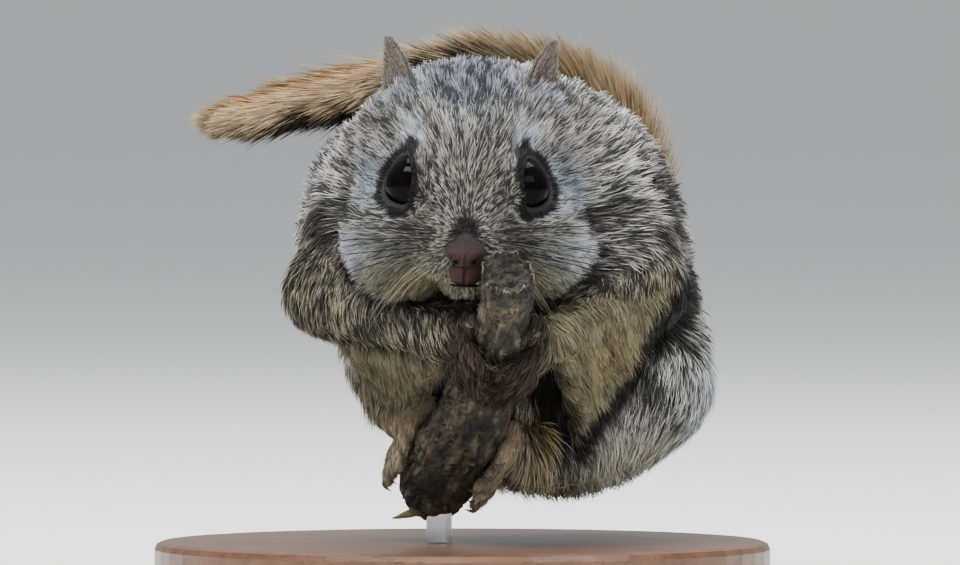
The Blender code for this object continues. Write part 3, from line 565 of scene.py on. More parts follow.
@dataclass(frozen=True)
class HornFinish(Finish):
    """Claw horn: dark brown with paler streaks, and dull with wear."""

    name: str = "claw_horn"

    def wire(self, tree: Tree, shader: Node, place: Socket) -> None:
        """Horn streaked by fine noise."""
        streak = add_node(tree, "ShaderNodeTexNoise", Vector=place, Scale=1500.0, Detail=2.0)
        mixed = add_node(tree, "ShaderNodeMix", {"data_type": "RGBA"}, Factor=streak.outputs["Fac"],
                         in_6=rgba("1c1511"), in_7=rgba("4a4038"))
        connect(tree, shader, Base_Color=mixed.outputs[2], Roughness=0.5)


@dataclass(frozen=True)
class BarkFinish(Finish):
    """Weathered dead wood with its bark gone in places: dry, cracked and unevenly stained."""

    name: str = "weathered_wood"

    def wire(self, tree: Tree, shader: Node, place: Socket) -> None:
        """Stains, darker scars, painted shade in the cracks and a painted highlight on raised bark, all from
        the colours stored on the mesh, with a fine speck and its bump.
        """
        tint = add_node(tree, "ShaderNodeAttribute", {"attribute_name": "bark"})
        speck = add_node(tree, "ShaderNodeTexNoise", Vector=place, Scale=1400.0, Detail=5.0, Roughness=0.7)
        shade = add_node(tree, "ShaderNodeMapRange", Value=speck.outputs["Fac"], From_Min=0.3, From_Max=0.7,
                         To_Min=0.62, To_Max=1.38)
        mixed = add_node(tree, "ShaderNodeVectorMath", {"operation": "SCALE"},
                         in_0=tint.outputs["Color"], Scale=shade.outputs["Result"])
        bump = add_node(tree, "ShaderNodeBump", Height=speck.outputs["Fac"], Strength=0.8, Distance=0.0004)
        connect(tree, shader, Base_Color=mixed.outputs["Vector"], Normal=bump.outputs["Normal"],
                Roughness=0.82)


@dataclass(frozen=True)
class WalnutFinish(Finish):
    """Oiled walnut, sanded and waxed: long brown grain with open pores and a low sheen."""

    name: str = "oiled_walnut"

    def wire(self, tree: Tree, shader: Node, place: Socket) -> None:
        """Grain lines along X about 3 mm apart, warped by noise, with short dark pores."""
        stretched = add_node(tree, "ShaderNodeMapping", Vector=place, Scale=(0.09, 1.0, 1.0))
        along = stretched.outputs["Vector"]
        grain = add_node(tree, "ShaderNodeTexNoise", Vector=along, Scale=330.0, Detail=6.0, Distortion=0.6)
        pores = add_node(tree, "ShaderNodeTexNoise", Vector=along, Scale=2600.0, Detail=2.0)
        mixed = add_node(tree, "ShaderNodeMix", {"data_type": "RGBA"}, Factor=grain.outputs["Fac"],
                         in_6=rgba("2c1a10"), in_7=rgba("7a5136"))
        pore = add_node(tree, "ShaderNodeMapRange", Value=pores.outputs["Fac"], From_Min=0.33, From_Max=0.45,
                        To_Min=0.55, To_Max=1.0).outputs["Result"]
        final = add_node(tree, "ShaderNodeVectorMath", {"operation": "SCALE"},
                         in_0=mixed.outputs[2], Scale=pore)
        bump = add_node(tree, "ShaderNodeBump", Height=pore, Strength=0.25, Distance=0.0002)
        connect(tree, shader, Base_Color=final.outputs["Vector"], Normal=bump.outputs["Normal"],
                Roughness=0.38, Coat_Weight=0.25, Coat_Roughness=0.25)


@dataclass(frozen=True)
class SteelFinish(Finish):
    """Satin stainless steel rod: fine lines from turning run round it."""

    name: str = "satin_steel"

    def wire(self, tree: Tree, shader: Node, place: Socket) -> None:
        """Roughness and bump from thin rings stacked along Z about 0.3 mm apart."""
        flat = add_node(tree, "ShaderNodeMapping", Vector=place, Scale=(0.05, 0.05, 1.0))
        rings = add_node(tree, "ShaderNodeTexNoise", Vector=flat.outputs["Vector"], Scale=3300.0, Detail=2.0)
        rough = add_node(tree, "ShaderNodeMapRange", Value=rings.outputs["Fac"], To_Min=0.22, To_Max=0.42)
        bump = add_node(tree, "ShaderNodeBump", Height=rings.outputs["Fac"], Strength=0.12, Distance=0.0001)
        connect(tree, shader, Base_Color=rgba("c3c4c6"), Metallic=1.0, Roughness=rough.outputs["Result"],
                Normal=bump.outputs["Normal"])


def dress(obj: Piece, material: bpy.types.Material, slot: str, *nodes: str) -> Piece:
    """Gives a piece its finish and its body, and hides the solids that it stands for.

    Args:
        obj: The piece.
        material: Its finish.
        slot: Not used.
        *nodes: Solids that it replaces.

    Returns:
        The piece.
    """
    obj.data.materials.clear()
    obj.data.materials.append(material)
    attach(obj, "root")
    if nodes:
        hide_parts(*nodes)
    log.info("%s: %d faces", obj.name, len(obj.data.polygons))
    return obj


# The animal's form

EYE_AXIS = unit(np.array((0.88, -0.47, 0.12)))
EYE_SEAT = np.array((9.8, -10.6, 0.3))
EYE_SINK = 2.1
EYE_RADIUS = 4.8
EYE_CENTRE = EYE_SEAT - EYE_AXIS * EYE_SINK
NOSE_MIDDLE = (0.0, -20.0, -9.0)
# In front of the nose, where the lie of the hair starts
LIE_SOURCE = (0.0, -24.0, -7.0)
LID_AXIS = unit(np.array((0.96, -0.27, 0.05)))
LID_RISE = 1.4
LID_REACH = 4.78
LID_FLOOR = 0.2
HEAD_ROLL = math.radians(1.5)


def mirrored(place: Sequence, side: float) -> Array:
    """The place with its X taken to the side +1 or -1."""
    return np.asarray(place, float) * (side, 1.0, 1.0)


@dataclass
class Head:
    """The head's own frame: its centre is found from the two eyes' solids, and it rolls about Y."""

    half_width: float = 19.4
    centre: Array = field(init=False)

    def __post_init__(self) -> None:
        """Puts the centre where the solids' eyes say it is."""
        between = (node_middle("eye_left") + node_middle("eye_right")) / 2
        local = np.array((0.0, EYE_CENTRE[1], EYE_CENTRE[2]))
        self.centre = between - self.turn(local[None, :], 1)[0]

    @staticmethod
    def turn(points: Array, way: int) -> Array:
        """Rolls points about Y, with way 1 from the head's frame and -1 back into it."""
        cosine, sine = math.cos(HEAD_ROLL), math.sin(HEAD_ROLL) * way
        x = points[:, 0] * cosine + points[:, 2] * sine
        z = points[:, 2] * cosine - points[:, 0] * sine
        return np.column_stack((x, points[:, 1], z))

    def out(self, points: Array) -> Array:
        """From the head's frame to the model's."""
        return self.turn(np.atleast_2d(np.asarray(points, float)), 1) + self.centre

    def into(self, points: Array) -> Array:
        """From the model's frame to the head's."""
        return self.turn(points - self.centre, -1)

    def form(self, world: Array) -> Array:
        """Distance to the head over its fur: cranium, brow, cheeks, muzzle, whisker pads and chin."""
        points = self.into(world)
        across = folded(points)
        cranium = egg(points, (0, 4.4, 4.4), (self.half_width * 0.93, 17.0, 13.6), 42.0)
        brow = egg(points, (0, -4.4, 0.6), (11.8, 13.2, 12.4))
        cheek = egg(across, (9.3, -3.2, -8.0), (self.half_width * 0.53, 11.6, 9.6))
        muzzle = egg(points, (0, -12.6, -8.0), (6.2, 8.2, 6.0))
        pad = egg(across, (3.0, -14.6, -10.8), (4.4, 4.8, 3.6))
        chin = egg(points, (0, -12.6, -14.2), (4.2, 4.8, 3.0))
        skull = melt(melt(cranium, brow, 4.5), cheek, 4.5)
        return melt(melt(skull, melt(muzzle, pad, 2.0), 4.0), chin, 1.2)

    def about_lid(self, world: Array) -> tuple[Array, Array]:
        """How far places are from the axis of the lids on their side, and how far along it."""
        away = folded(self.into(world)) - EYE_CENTRE
        rise = away @ LID_AXIS
        return np.linalg.norm(away - rise[:, None] * LID_AXIS, axis=1), rise

    def lid(self, world: Array) -> Array:
        """Distance to the fleshy band round each eye: circles on one ball, from its floor up to its rim."""
        reach, rise = self.about_lid(world)
        level = np.clip(rise, LID_FLOOR, LID_RISE)
        circle = np.sqrt(LID_REACH**2 + LID_RISE**2 - level**2)
        return np.hypot(reach - circle, rise - level) - 0.5

    def eye(self, side: float) -> Array:
        """Centre of an eyeball in the model's frame."""
        return self.out(mirrored(EYE_CENTRE, side))[0]


@dataclass
class Stub:
    """The branch stub: a bent, tapering stem whose broken end is beside the chin."""

    line: tuple = (
        (-5.6, -3.5, 13.6), (-3.2, -8.5, 18.4), (-0.4, -13.5, 23.6), (2.2, -18.5, 28.6),
        (4.4, -24.5, 34.0), (6.0, -31.5, 40.0), (6.8, -37.6, 45.8), (7.2, -41.6, 49.8),
    )
    radii: tuple = (5.0, 5.7, 5.8, 5.1, 4.4, 4.1, 3.9, 3.8)
    swell: float = 1.065
    gap: float = 0.3

    def radius(self, shares: Array) -> Array:
        """The stem's radius at shares of its length."""
        return np.interp(shares, np.linspace(0, 1, len(self.radii)), self.radii)

    def beside(self, share: float, angle: float, lift: float) -> Array:
        """A point beside the stem.

        Args:
            share: Share of its length.
            angle: Degrees from its front, positive to the animal's left.
            lift: How far off the bark.

        Returns:
            The point in mm.
        """
        centre = smooth_curve(self.line, share)[0]
        ahead = curve_directions(self.line, share)[0]
        facing = unit(np.array((0.0, -1.0, 0.0)) + ahead * ahead[1])
        sideways = np.cross(ahead, facing)
        turn = math.radians(angle)
        reach = self.radius(share) * self.swell + self.gap + lift
        return centre + (facing * math.cos(turn) + sideways * math.sin(turn)) * reach

    def distance(self, points: Array) -> Array:
        """Distance to the smooth stem."""
        shares = np.linspace(0, 1, 24)
        return limb(points, smooth_curve(self.line, shares), self.radius(shares))


@dataclass
class Digit:
    """A finger or toe bent round the stub: its line, radii and claw."""

    line: Array
    radii: Array
    claw: Array


class Region(Enum):
    """Named regions of the coat, in the order of Body.regions."""

    HEAD = 0
    TRUNK = 1
    ARM_LEFT = 2
    ARM_RIGHT = 3
    LEG_LEFT = 4
    LEG_RIGHT = 5
    HAND_LEFT = 6
    HAND_RIGHT = 7
    FOOT_LEFT = 8
    FOOT_RIGHT = 9
    SHEET_LEFT = 10
    SHEET_RIGHT = 11
    TAIL = 12

    @property
    def kind(self) -> str:
        """The region's name without its side, as SHADES and LIES have it."""
        return self.name.split("_")[0]


PAWS = slice(Region.HAND_LEFT.value, Region.FOOT_RIGHT.value + 1)


def by_kind(weights: Array, table: dict, setting: Callable) -> Array:
    """A setting of every kind of region, mixed by the regions' weights at each point."""
    return weights.T @ np.array([setting(table[region.kind]) for region in Region])


@dataclass
class Body:
    """The whole animal as distances, each form moved in by the depth of its coat."""

    head: Head = field(default_factory=Head)
    stub: Stub = field(default_factory=Stub)
    half_width: float = 30.0
    back: tuple = (4.6, 6.0, 54.0)
    rump: tuple = (15.5, 11.0, 37.6)
    arms: dict = field(default_factory=lambda: {
        "left": ((23.4, -1.5, 54.5), (28.2, -9.0, 47.2), (15.4, -24.0, 40.6)),
        "right": ((-16.5, -4.0, 54.0), (-20.8, -11.0, 46.0), (-4.6, -24.6, 40.6)),
    })
    legs: dict = field(default_factory=lambda: {
        "left": ((26.5, 13.0, 31.0), (29.6, -1.5, 31.5), (18.8, -5.0, 23.2)),
        "right": ((-2.0, 12.0, 32.0), (-10.4, -1.0, 34.0), (-10.4, -3.4, 27.4)),
    })
    sheets: dict = field(default_factory=lambda: {
        "left": ((30.8, -11.5, 43.8), (14.6, -22.5, 38.5), (18.8, -10.0, 23.8)),
        "right": ((-17.6, -12.0, 38.6), (-3.6, -21.5, 36.6), (-9.9, -8.0, 28.6)),
    })
    arm_radii: tuple = (8.0, 6.2, 3.4)
    leg_radii: dict = field(default_factory=lambda: {"left": (11.0, 8.4, 2.9), "right": (10.0, 6.4, 2.6)})
    hand_share: float = 0.68
    foot_share: dict = field(default_factory=lambda: {"left": 0.27, "right": 0.20})
    tail_root: tuple = (15.0, 20.0, 25.0)
    tail_route: tuple = (
        (20.5, 29.0, 30.0), (25.0, 30.0, 40.0), (27.0, 28.5, 50.0), (27.0, 26.0, 60.0),
        (24.0, 24.0, 68.0), (16.5, 22.5, 74.5), (6.5, 21.5, 77.5), (-5.0, 20.0, 78.5),
        (-17.5, 16.0, 76.6), (-28.5, 12.0, 74.0), (-38.5, 9.0, 72.0),
    )
    tail_half_depth: float = 4.2
    tail_free: tuple = (0.62, 0.80)
    hands: dict = field(init=False)
    feet: dict = field(init=False)
    tail_line: Array = field(init=False)

    def __post_init__(self) -> None:
        """Works out the digits and the tail's line, which lies on the back."""
        self.hands = {name: self.fingers(side) for name, side in SIDES.items()}
        self.feet = {name: self.toes(name, side) for name, side in SIDES.items()}
        points = np.array(self.tail_route, float)
        for _ in range(12):
            short = np.clip(self.tail_half_depth * 0.8 - self.trunk(points), 0, None)
            points = points + outward(self.trunk, points, 0.4) * short[:, None]
        self.tail_line = np.vstack((self.tail_root, points))

    def trunk(self, points: Array) -> Array:
        """Distance to the back, rump and nape over their fur."""
        back = egg(points, self.back, (self.half_width, 27.0, 27.0))
        rump = egg(points, self.rump, (22.5, 21.8, 21.8))
        nape = egg(points, (2.6, -6.0, 62.0), (22.5, 14.0, 19.5))
        return melt(melt(back, rump, 7.0), nape, 4.0)

    def digit(self, shares: tuple, angles: tuple, radius: float, claw: float) -> Digit:
        """A digit from the side of the stub over its front.

        Args:
            shares: Where it starts and ends along the stub.
            angles: Where it starts and ends round the stub, in degrees.
            radius: Its radius over the fur.
            claw: Its claw's length.

        Returns:
            The digit.
        """
        steps = np.linspace(0, 1, 6)
        share = shares[0] + (shares[1] - shares[0]) * steps
        angle = angles[0] + (angles[1] - angles[0]) * steps
        lift = radius * (1.15 - 0.25 * steps)
        line = np.array([self.stub.beside(s, a, h) for s, a, h in zip(share, angle, lift)])
        ahead = unit(line[-1] - line[-2])
        out = unit(line[-1] - smooth_curve(self.stub.line, share[-1])[0])
        tip = line[-1] + ahead * radius * 0.5
        hook = np.array((
            line[-1] + out * radius * 0.5, tip + ahead * claw * 0.4 + out * radius * 0.45,
            tip + ahead * claw * 0.9 - out * radius * 0.5,
        ))
        radii = radius * np.array((1.0, 1.0, 0.88, 0.98, 0.85, 0.72))
        return Digit(line, radii, hook)

    def fingers(self, side: float) -> list[Digit]:
        """Four fingers and a thumb of one hand."""
        spacing, made = 0.044, []
        for number in range(4):
            spread = (number - 1.5) * spacing
            shares = (self.hand_share + spread * 0.8, self.hand_share - 0.02 + spread)
            made.append(self.digit(shares, (side * 118, side * 15), 0.95, 1.3))
        shares = (self.hand_share + 2.2 * spacing, self.hand_share + 2.8 * spacing)
        made.append(self.digit(shares, (side * 125, side * 75), 0.85, 1.0))
        return made

    def toes(self, name: str, side: float) -> list[Digit]:
        """Five toes of one hind foot."""
        made = []
        for number in range(5):
            spread = (number - 2) * 0.05
            shares = (self.foot_share[name] + spread * 0.75, self.foot_share[name] - 0.05 + spread)
            last = side * (56 + 8 * abs(number - 2))
            made.append(self.digit(shares, (side * 120, last), 1.3, 1.3))
        return made

    def paw(self, points: Array, wrist: Sequence, palm: Array, radii: tuple, digits: list[Digit]) -> Array:
        """Distance to a palm or sole with its digits, worked out only near it."""
        result = limb(points, (wrist, palm), radii)
        near = np.flatnonzero(result < 14.0)
        close = result[near]
        for digit in digits:
            close = melt(close, limb(points[near], digit.line, digit.radii, 0.3), 0.7)
        result[near] = close
        return result

    def sheet(self, points: Array, corners: Sequence) -> Array:
        """Distance to a gliding skin's flat triangle, with rounded rims."""
        a, b, c = (np.array(corner) for corner in corners)
        normal = unit(np.cross(b - a, c - a))
        inside = np.ones(len(points), bool)
        nearest = np.full(len(points), np.inf)
        for start, end in ((a, b), (b, c), (c, a)):
            edge = end - start
            share = np.clip((points - start) @ edge / (edge @ edge), 0, 1)
            nearest = np.minimum(nearest, np.linalg.norm(points - start - share[:, None] * edge, axis=1))
            inside &= (points - start) @ np.cross(normal, edge) > 0
        return np.where(inside, np.abs((points - a) @ normal), nearest) - 1.7

    def tail_frame(self, shares: Array) -> tuple[Array, Array, Array, Array]:
        """Centres, ahead, width and depth directions of the flat tail at these shares."""
        centres = smooth_curve(self.tail_line, shares)
        ahead = curve_directions(self.tail_line, shares)
        low, high = self.tail_free
        free = np.clip((np.atleast_1d(shares) - low) / (high - low), 0, 1)[:, None]
        out = outward(self.trunk, centres, 0.4) * (1 - free) + np.array((0.0, -0.2, 1.0)) * free
        depth = along_surface(out, ahead)
        return centres, ahead, np.cross(depth, ahead), depth

    @staticmethod
    def tail_fullness(shares: Array) -> Array:
        """How full the tail is along its length, 1 where it is fullest."""
        return np.interp(shares, (0, 0.07, 0.2, 0.8, 0.93, 1.0), (0.5, 0.78, 1.0, 0.96, 0.72, 0.3))

    def tail(self, points: Array) -> Array:
        """Distance to the tail's flesh, a thin round taper inside its hair."""
        shares = np.linspace(0, 0.97, 40)
        centres = smooth_curve(self.tail_line, shares)
        return limb(points, centres, np.interp(shares, (0, 0.1, 1), (3.4, 2.5, 1.0)), 0.3)

    def depth(self, points: Array) -> Array:
        """How deep the coat is on the head: thin at the nose and round the eyes, deeper at the nape."""
        local = self.head.into(points)
        from_nose = np.linalg.norm(local - NOSE_MIDDLE, axis=1)
        return 0.35 + 1.0 * smooth(from_nose, 2.0, 30.0)

    def regions(self, points: Array) -> Array:
        """Distance to each region's skin, one row for each Region."""
        face = melt(self.head.form(points) + self.depth(points), self.head.lid(points), 1.0)
        belly = egg(points, (15.0, 2.5, 27.0), (16.0, 12.5, 10.2))
        rows = [face, melt(self.trunk(points) + 1.5, belly, 5.0)]
        rows += [limb(points, self.arms[name], self.arm_radii, 3.0) + 1.0 for name in SIDES]
        rows += [limb(points, self.legs[name], self.leg_radii[name], 4.0) + 1.2 for name in SIDES]
        for name, side in SIDES.items():
            palm = self.stub.beside(self.hand_share, side * 112, 1.4)
            rows.append(self.paw(points, self.arms[name][2], palm, (3.5, 3.3), self.hands[name]) + 0.30)
        for name, side in SIDES.items():
            ball = self.stub.beside(self.foot_share[name], side * 112, 2.2)
            rows.append(self.paw(points, self.legs[name][2], ball, (3.5, 4.0), self.feet[name]) + 0.2)
        rows += [self.sheet(points, self.sheets[name]) + 0.7 for name in SIDES]
        rows.append(self.tail(points))
        return np.array(rows)

    def skin(self, points: Array) -> Array:
        """Distance to the whole skin: every region melted into the rest."""
        rows = self.regions(points)
        blends = (0, 3.0, 4.0, 4.0, 5.0, 5.0, 1.6, 1.6, 1.6, 1.6, 2.2, 2.2, 3.0)
        result = rows[0]
        for row, blend in zip(rows[1:], blends[1:]):
            result = melt(result, row, blend)
        return result


# Markings, with painted shade in creases, gaps and folds, shared by the skin and the coat

@dataclass(frozen=True)
class Mark:
    """A patch of colour: an egg-shaped room in which hair has other shades.

    It lies in the head's frame, on both sides if paired, or else in the model's frame.
    dark is the share of wholly dark hairs, and edge how soft its border is.
    """

    centre: tuple
    radii: tuple
    root: str
    tip: str
    dark: float = 0.15
    edge: float = 0.35
    paired: bool = True

    def share(self, places: Array, ragged: Array) -> Array:
        """How far the mark takes over: 1 inside, and 0 outside its soft, ragged border."""
        reach = np.linalg.norm((places - self.centre) / self.radii, axis=1)
        return 1 - smooth(reach + ragged, 1 - self.edge, 1 + self.edge * 0.5)


FACE_MARKS = (
    # Grizzled forehead, slate crown, pale grey before the ears
    Mark((0, -12, 1), (10, 14, 13), "1c1b1a", "8d8b84", 0.42, paired=False),
    Mark((9.5, 2, 15), (8, 9, 6), "2f3236", "8d9196", 0.26, 0.6),
    Mark((0, -2, 15), (7.6, 15, 9.5), "0c0e13", "747a84", 0.60, 0.6, paired=False),
    # Blue-grey round the eyes, pale spots over them
    Mark((14.6, -7.5, 0.4), (4.8, 8.0, 6.6), "3f4347", "83898f", 0.10, 0.6),
    Mark((8.6, -9.6, 7.6), (2.7, 5.0, 3.6), "63676b", "a7acb2", 0.03, 0.6),
    # Pale cheeks, brightest far out, olive-buff below them
    Mark((13.0, -9.0, -9.8), (8.0, 9.0, 4.8), "4a4c4c", "7f8280", 0.10, 0.6),
    Mark((17.0, -6.0, -9.8), (3.8, 8.0, 3.6), "6d7073", "a6aaae", 0.03, 0.8),
    Mark((6.0, -15.0, -8.4), (5.4, 7.0, 4.6), "272622", "62615b", 0.24, 0.7),
    Mark((6.5, -12.0, -14.4), (9.6, 9.0, 4.8), "332c1c", "67614a", 0.05, 0.7),
    # Painted shade in the crease behind the cheeks, where the head meets the neck
    Mark((18.8, -3.0, -4.6), (4.0, 10.0, 2.3), "080706", "1c1917", 0.85, 0.7),
    # Black rims of the eyes, with a tuft above each
    Mark((9.6, -11.0, -0.7), (3.1, 4.6, 5.4), "040403", "0b0a09", 0.9, 0.18),
    Mark((8.7, -11.8, 5.6), (1.2, 4.0, 2.4), "040403", "0e0c0a", 0.9, 0.4),
    # Dark bridge of the nose
    Mark((0, -19.6, -6.8), (1.9, 4.5, 2.7), "090706", "17110f", 0.8, 0.5, paired=False),
)

BODY_MARKS = (
    # Painted shade in the crease behind the cheeks, where the head meets the neck
    Mark((21.0, -6, 58.5), (4.4, 12, 2.7), "080706", "1c1917", 0.85, 0.6),
    Mark((-19.0, -8, 57.0), (3.4, 12, 3.2), "080706", "1c1917", 0.85, 0.6),
    # Darker streaks high on the left flank and a pale rim outside them
    Mark((30, -4, 62), (4.0, 14, 11), "100f0f", "64625f", 0.62, 0.6),
    Mark((36, 0, 56), (3.0, 12, 13), "45423c", "97928a", 0.12, 0.6),
    # Cream belly, buff low between the legs, pale fringe of the left thigh
    Mark((27, -2, 20.5), (17, 18, 8.5), "5c5a50", "9f9d92", 0.04, 0.4),
    Mark((8, -2, 18.5), (13, 16, 7.5), "4a4534", "8b8368", 0.05, 0.5),
    Mark((38, 2, 33), (3.6, 14, 10), "63666a", "a9acb0", 0.08, 0.6),
    # Buff beside the right gliding skin, low on that flank
    Mark((-16, 2, 30), (9, 18, 10), "3d382a", "77715c", 0.08, 0.5),
    # Orange-buff strip, and a dark wedge of painted shade in the gap beside the stub
    Mark((12.5, -4, 34.0), (4.0, 22, 4.8), "080707", "1d1a16", 0.85, 0.5),
    Mark((14.5, -4, 27.5), (3.2, 20, 6.5), "080707", "191613", 0.85, 0.5),
    Mark((9.6, -2, 26.0), (3.2, 20, 6.6), "3a2a12", "7d6740", 0.10, 0.5),
    # Brown in the middle of the left gliding skin
    Mark((22, -14, 38), (5.0, 12, 4.5), "3c3222", "7b6f54", 0.08, 0.7),
)


@dataclass(frozen=True)
class Shades:
    """Root and tip colours and the share of dark hairs, by region of the body."""

    root: str
    tip: str
    dark: float


SHADES = {
    "HEAD": Shades("1f1e1c", "8c8980", 0.38),
    "TRUNK": Shades("191817", "92918e", 0.40),
    "ARM": Shades("12100c", "686253", 0.44),
    "LEG": Shades("181716", "91918d", 0.44),
    "HAND": Shades("0e0906", "46392d", 0.40),
    "FOOT": Shades("6a5c4a", "9b8b75", 0.03),
    "SHEET": Shades("37321f", "78715a", 0.08),
    "TAIL": Shades("5b3d20", "a58152", 0.08),
}
RIM_SHADES = Shades("040403", "0b0a09", 0.9)
# Painted shadow in the fold between the left gliding skin and thigh
FOLD_SHADOW_SHADES = Shades("080707", "262422", 0.75)

# Regions whose hair gives way off the stub: whose, to which, and where the change starts and ends in mm
GIVING_WAY = (
    (Region.HAND_LEFT, Region.ARM_LEFT, 2.6, 4.6),
    (Region.HAND_RIGHT, Region.ARM_RIGHT, 3.6, 6.2),
    (Region.FOOT_LEFT, Region.TRUNK, 3.0, 5.0),
)


@dataclass
class Markings:
    """Where each colour of the animal lies, with painted shade in its creases, gaps and folds, for its skin
    and its coat alike.
    """

    body: Body
    panel_corners: tuple = ((11.8, 44.2), (34.2, 49.4), (17.0, 25.0))
    # Line and widths of the painted shadow in the fold between the left gliding skin and thigh, seen from
    # the front
    fold_shadow_line: tuple = ((34.8, 48.8), (27.5, 36.5), (17.3, 22.6))
    fold_shadow_widths: tuple = (2.6, 1.0, 1.3)

    def weights(self, points: Array) -> Array:
        """Soft share of each region at the points, from how near its form is.

        Hands and the left foot keep their own hair only near the stub, and the left gliding
        skin takes over the arm in front of it.
        """
        rows = self.body.regions(points)
        share = np.exp(-np.clip(rows - rows.min(axis=0), 0, 30) / 0.7)
        share = share / share.sum(axis=0)
        gap = self.body.stub.distance(points)
        panel = self.panel(points)
        moves = [(source, target, smooth(gap, low, high)) for source, target, low, high in GIVING_WAY]
        moves += [(source, Region.SHEET_LEFT, panel) for source in (Region.ARM_LEFT, Region.TRUNK)]
        for source, target, part in moves:
            moved = share[source.value] * part
            share[source.value] -= moved
            share[target.value] += moved
        return share

    def panel(self, points: Array) -> Array:
        """Share of the left gliding skin's front, a triangle seen from the front that hides the arm."""
        flat, corners = points[:, [0, 2]], np.array(self.panel_corners)
        depth = np.full(len(points), np.inf)
        for start, end in zip(corners, np.roll(corners, -1, axis=0)):
            along = unit(end - start)
            depth = np.minimum(depth, (flat - start) @ np.array((along[1], -along[0])))
        share = smooth(depth + 0.4 * waves(points, 1.5, 8), -0.5, 0.7)
        return share * (1 - smooth(points[:, 1], -1.0, 6.0))

    def shades(self, points: Array, weights: Array) -> tuple[Array, Array, Array]:
        """Root colours, tip colours and shares of dark hairs at the points.

        Each region's shades mix by its weight. A mark then takes over where the point's place
        over the mark's radii, made ragged by noise, is less than 1.

        Args:
            points: Places in mm.
            weights: Each region's share there.

        Returns:
            Root colours, tip colours and dark shares.
        """
        roots = by_kind(weights, SHADES, lambda kind: linear(kind.root))
        tips = by_kind(weights, SHADES, lambda kind: linear(kind.tip))
        dark = by_kind(weights, SHADES, lambda kind: kind.dark)
        for mark, share in self.marked(points, weights):
            roots = roots + (linear(mark.root) - roots) * share[:, None]
            tips = tips + (linear(mark.tip) - tips) * share[:, None]
            dark = dark + (mark.dark - dark) * share
        return roots, tips, dark

    def marked(self, points: Array, weights: Array) -> Iterator[tuple[Mark | Shades, Array]]:
        """Every mark in order, with how far it takes over at each point."""
        local = self.body.head.into(points)
        both = folded(local)
        ragged = waves(points, 1.6, 5) * 0.09
        face = np.clip(weights[Region.HEAD.value] * 1.2, 0, 1)
        paws = weights[PAWS].sum(axis=0)
        for mark in FACE_MARKS:
            yield mark, mark.share(both if mark.paired else local, ragged) * face
        reach, rise = self.body.head.about_lid(points)
        rim = np.hypot(np.maximum(reach - LID_REACH, 0), np.minimum(rise - LID_RISE, 0)) + 2 * ragged
        near = 1 - smooth(np.hypot(reach, rise) + 2 * ragged, EYE_RADIUS + 0.8, EYE_RADIUS + 1.4)
        yield RIM_SHADES, (1 - smooth(rim, 0.6, 1.2)) * near * face
        for mark in BODY_MARKS:
            yield mark, mark.share(points, ragged) * (1 - face) * (1 - paws)
        # Painted shadow in the fold between the left gliding skin and thigh
        yield FOLD_SHADOW_SHADES, self.fold(points) * (1 - face) * (1 - paws)

    def fold(self, points: Array) -> Array:
        """Share of the painted shadow in the fold between the left gliding skin and thigh, seen from the
        front.
        """
        flat = points[:, [0, 2]]
        nearest = np.full(len(points), np.inf)
        ends = zip(self.fold_shadow_line, self.fold_shadow_line[1:], self.fold_shadow_widths, self.fold_shadow_widths[1:])
        for start, end, first, last in ends:
            start, along = np.array(start), np.array(end) - np.array(start)
            share = np.clip((flat - start) @ along / (along @ along), 0, 1)
            width = first + (last - first) * share
            away = np.linalg.norm(flat - start - share[:, None] * along, axis=1)
            nearest = np.minimum(nearest, away / width)
        return (1 - smooth(nearest, 0.6, 1.5)) * (1 - smooth(points[:, 1], 4.0, 12.0))


# The coat

@dataclass(frozen=True)
class Lie:
    """How hair grows on a region: its length, width, its tip's height over the skin, and density."""

    length: float
    width: float
    height: float
    dense: float


LIES = {
    "HEAD": Lie(3.0, 0.155, 1.25, 30.0),
    "TRUNK": Lie(4.6, 0.19, 1.8, 14.0),
    "ARM": Lie(3.8, 0.18, 1.1, 18.0),
    "LEG": Lie(4.6, 0.19, 1.5, 16.0),
    "HAND": Lie(3.0, 0.15, 1.2, 30.0),
    "FOOT": Lie(1.4, 0.14, 0.45, 30.0),
    "SHEET": Lie(3.0, 0.16, 0.8, 24.0),
    "TAIL": Lie(5.0, 0.22, 2.0, 0.0),
}


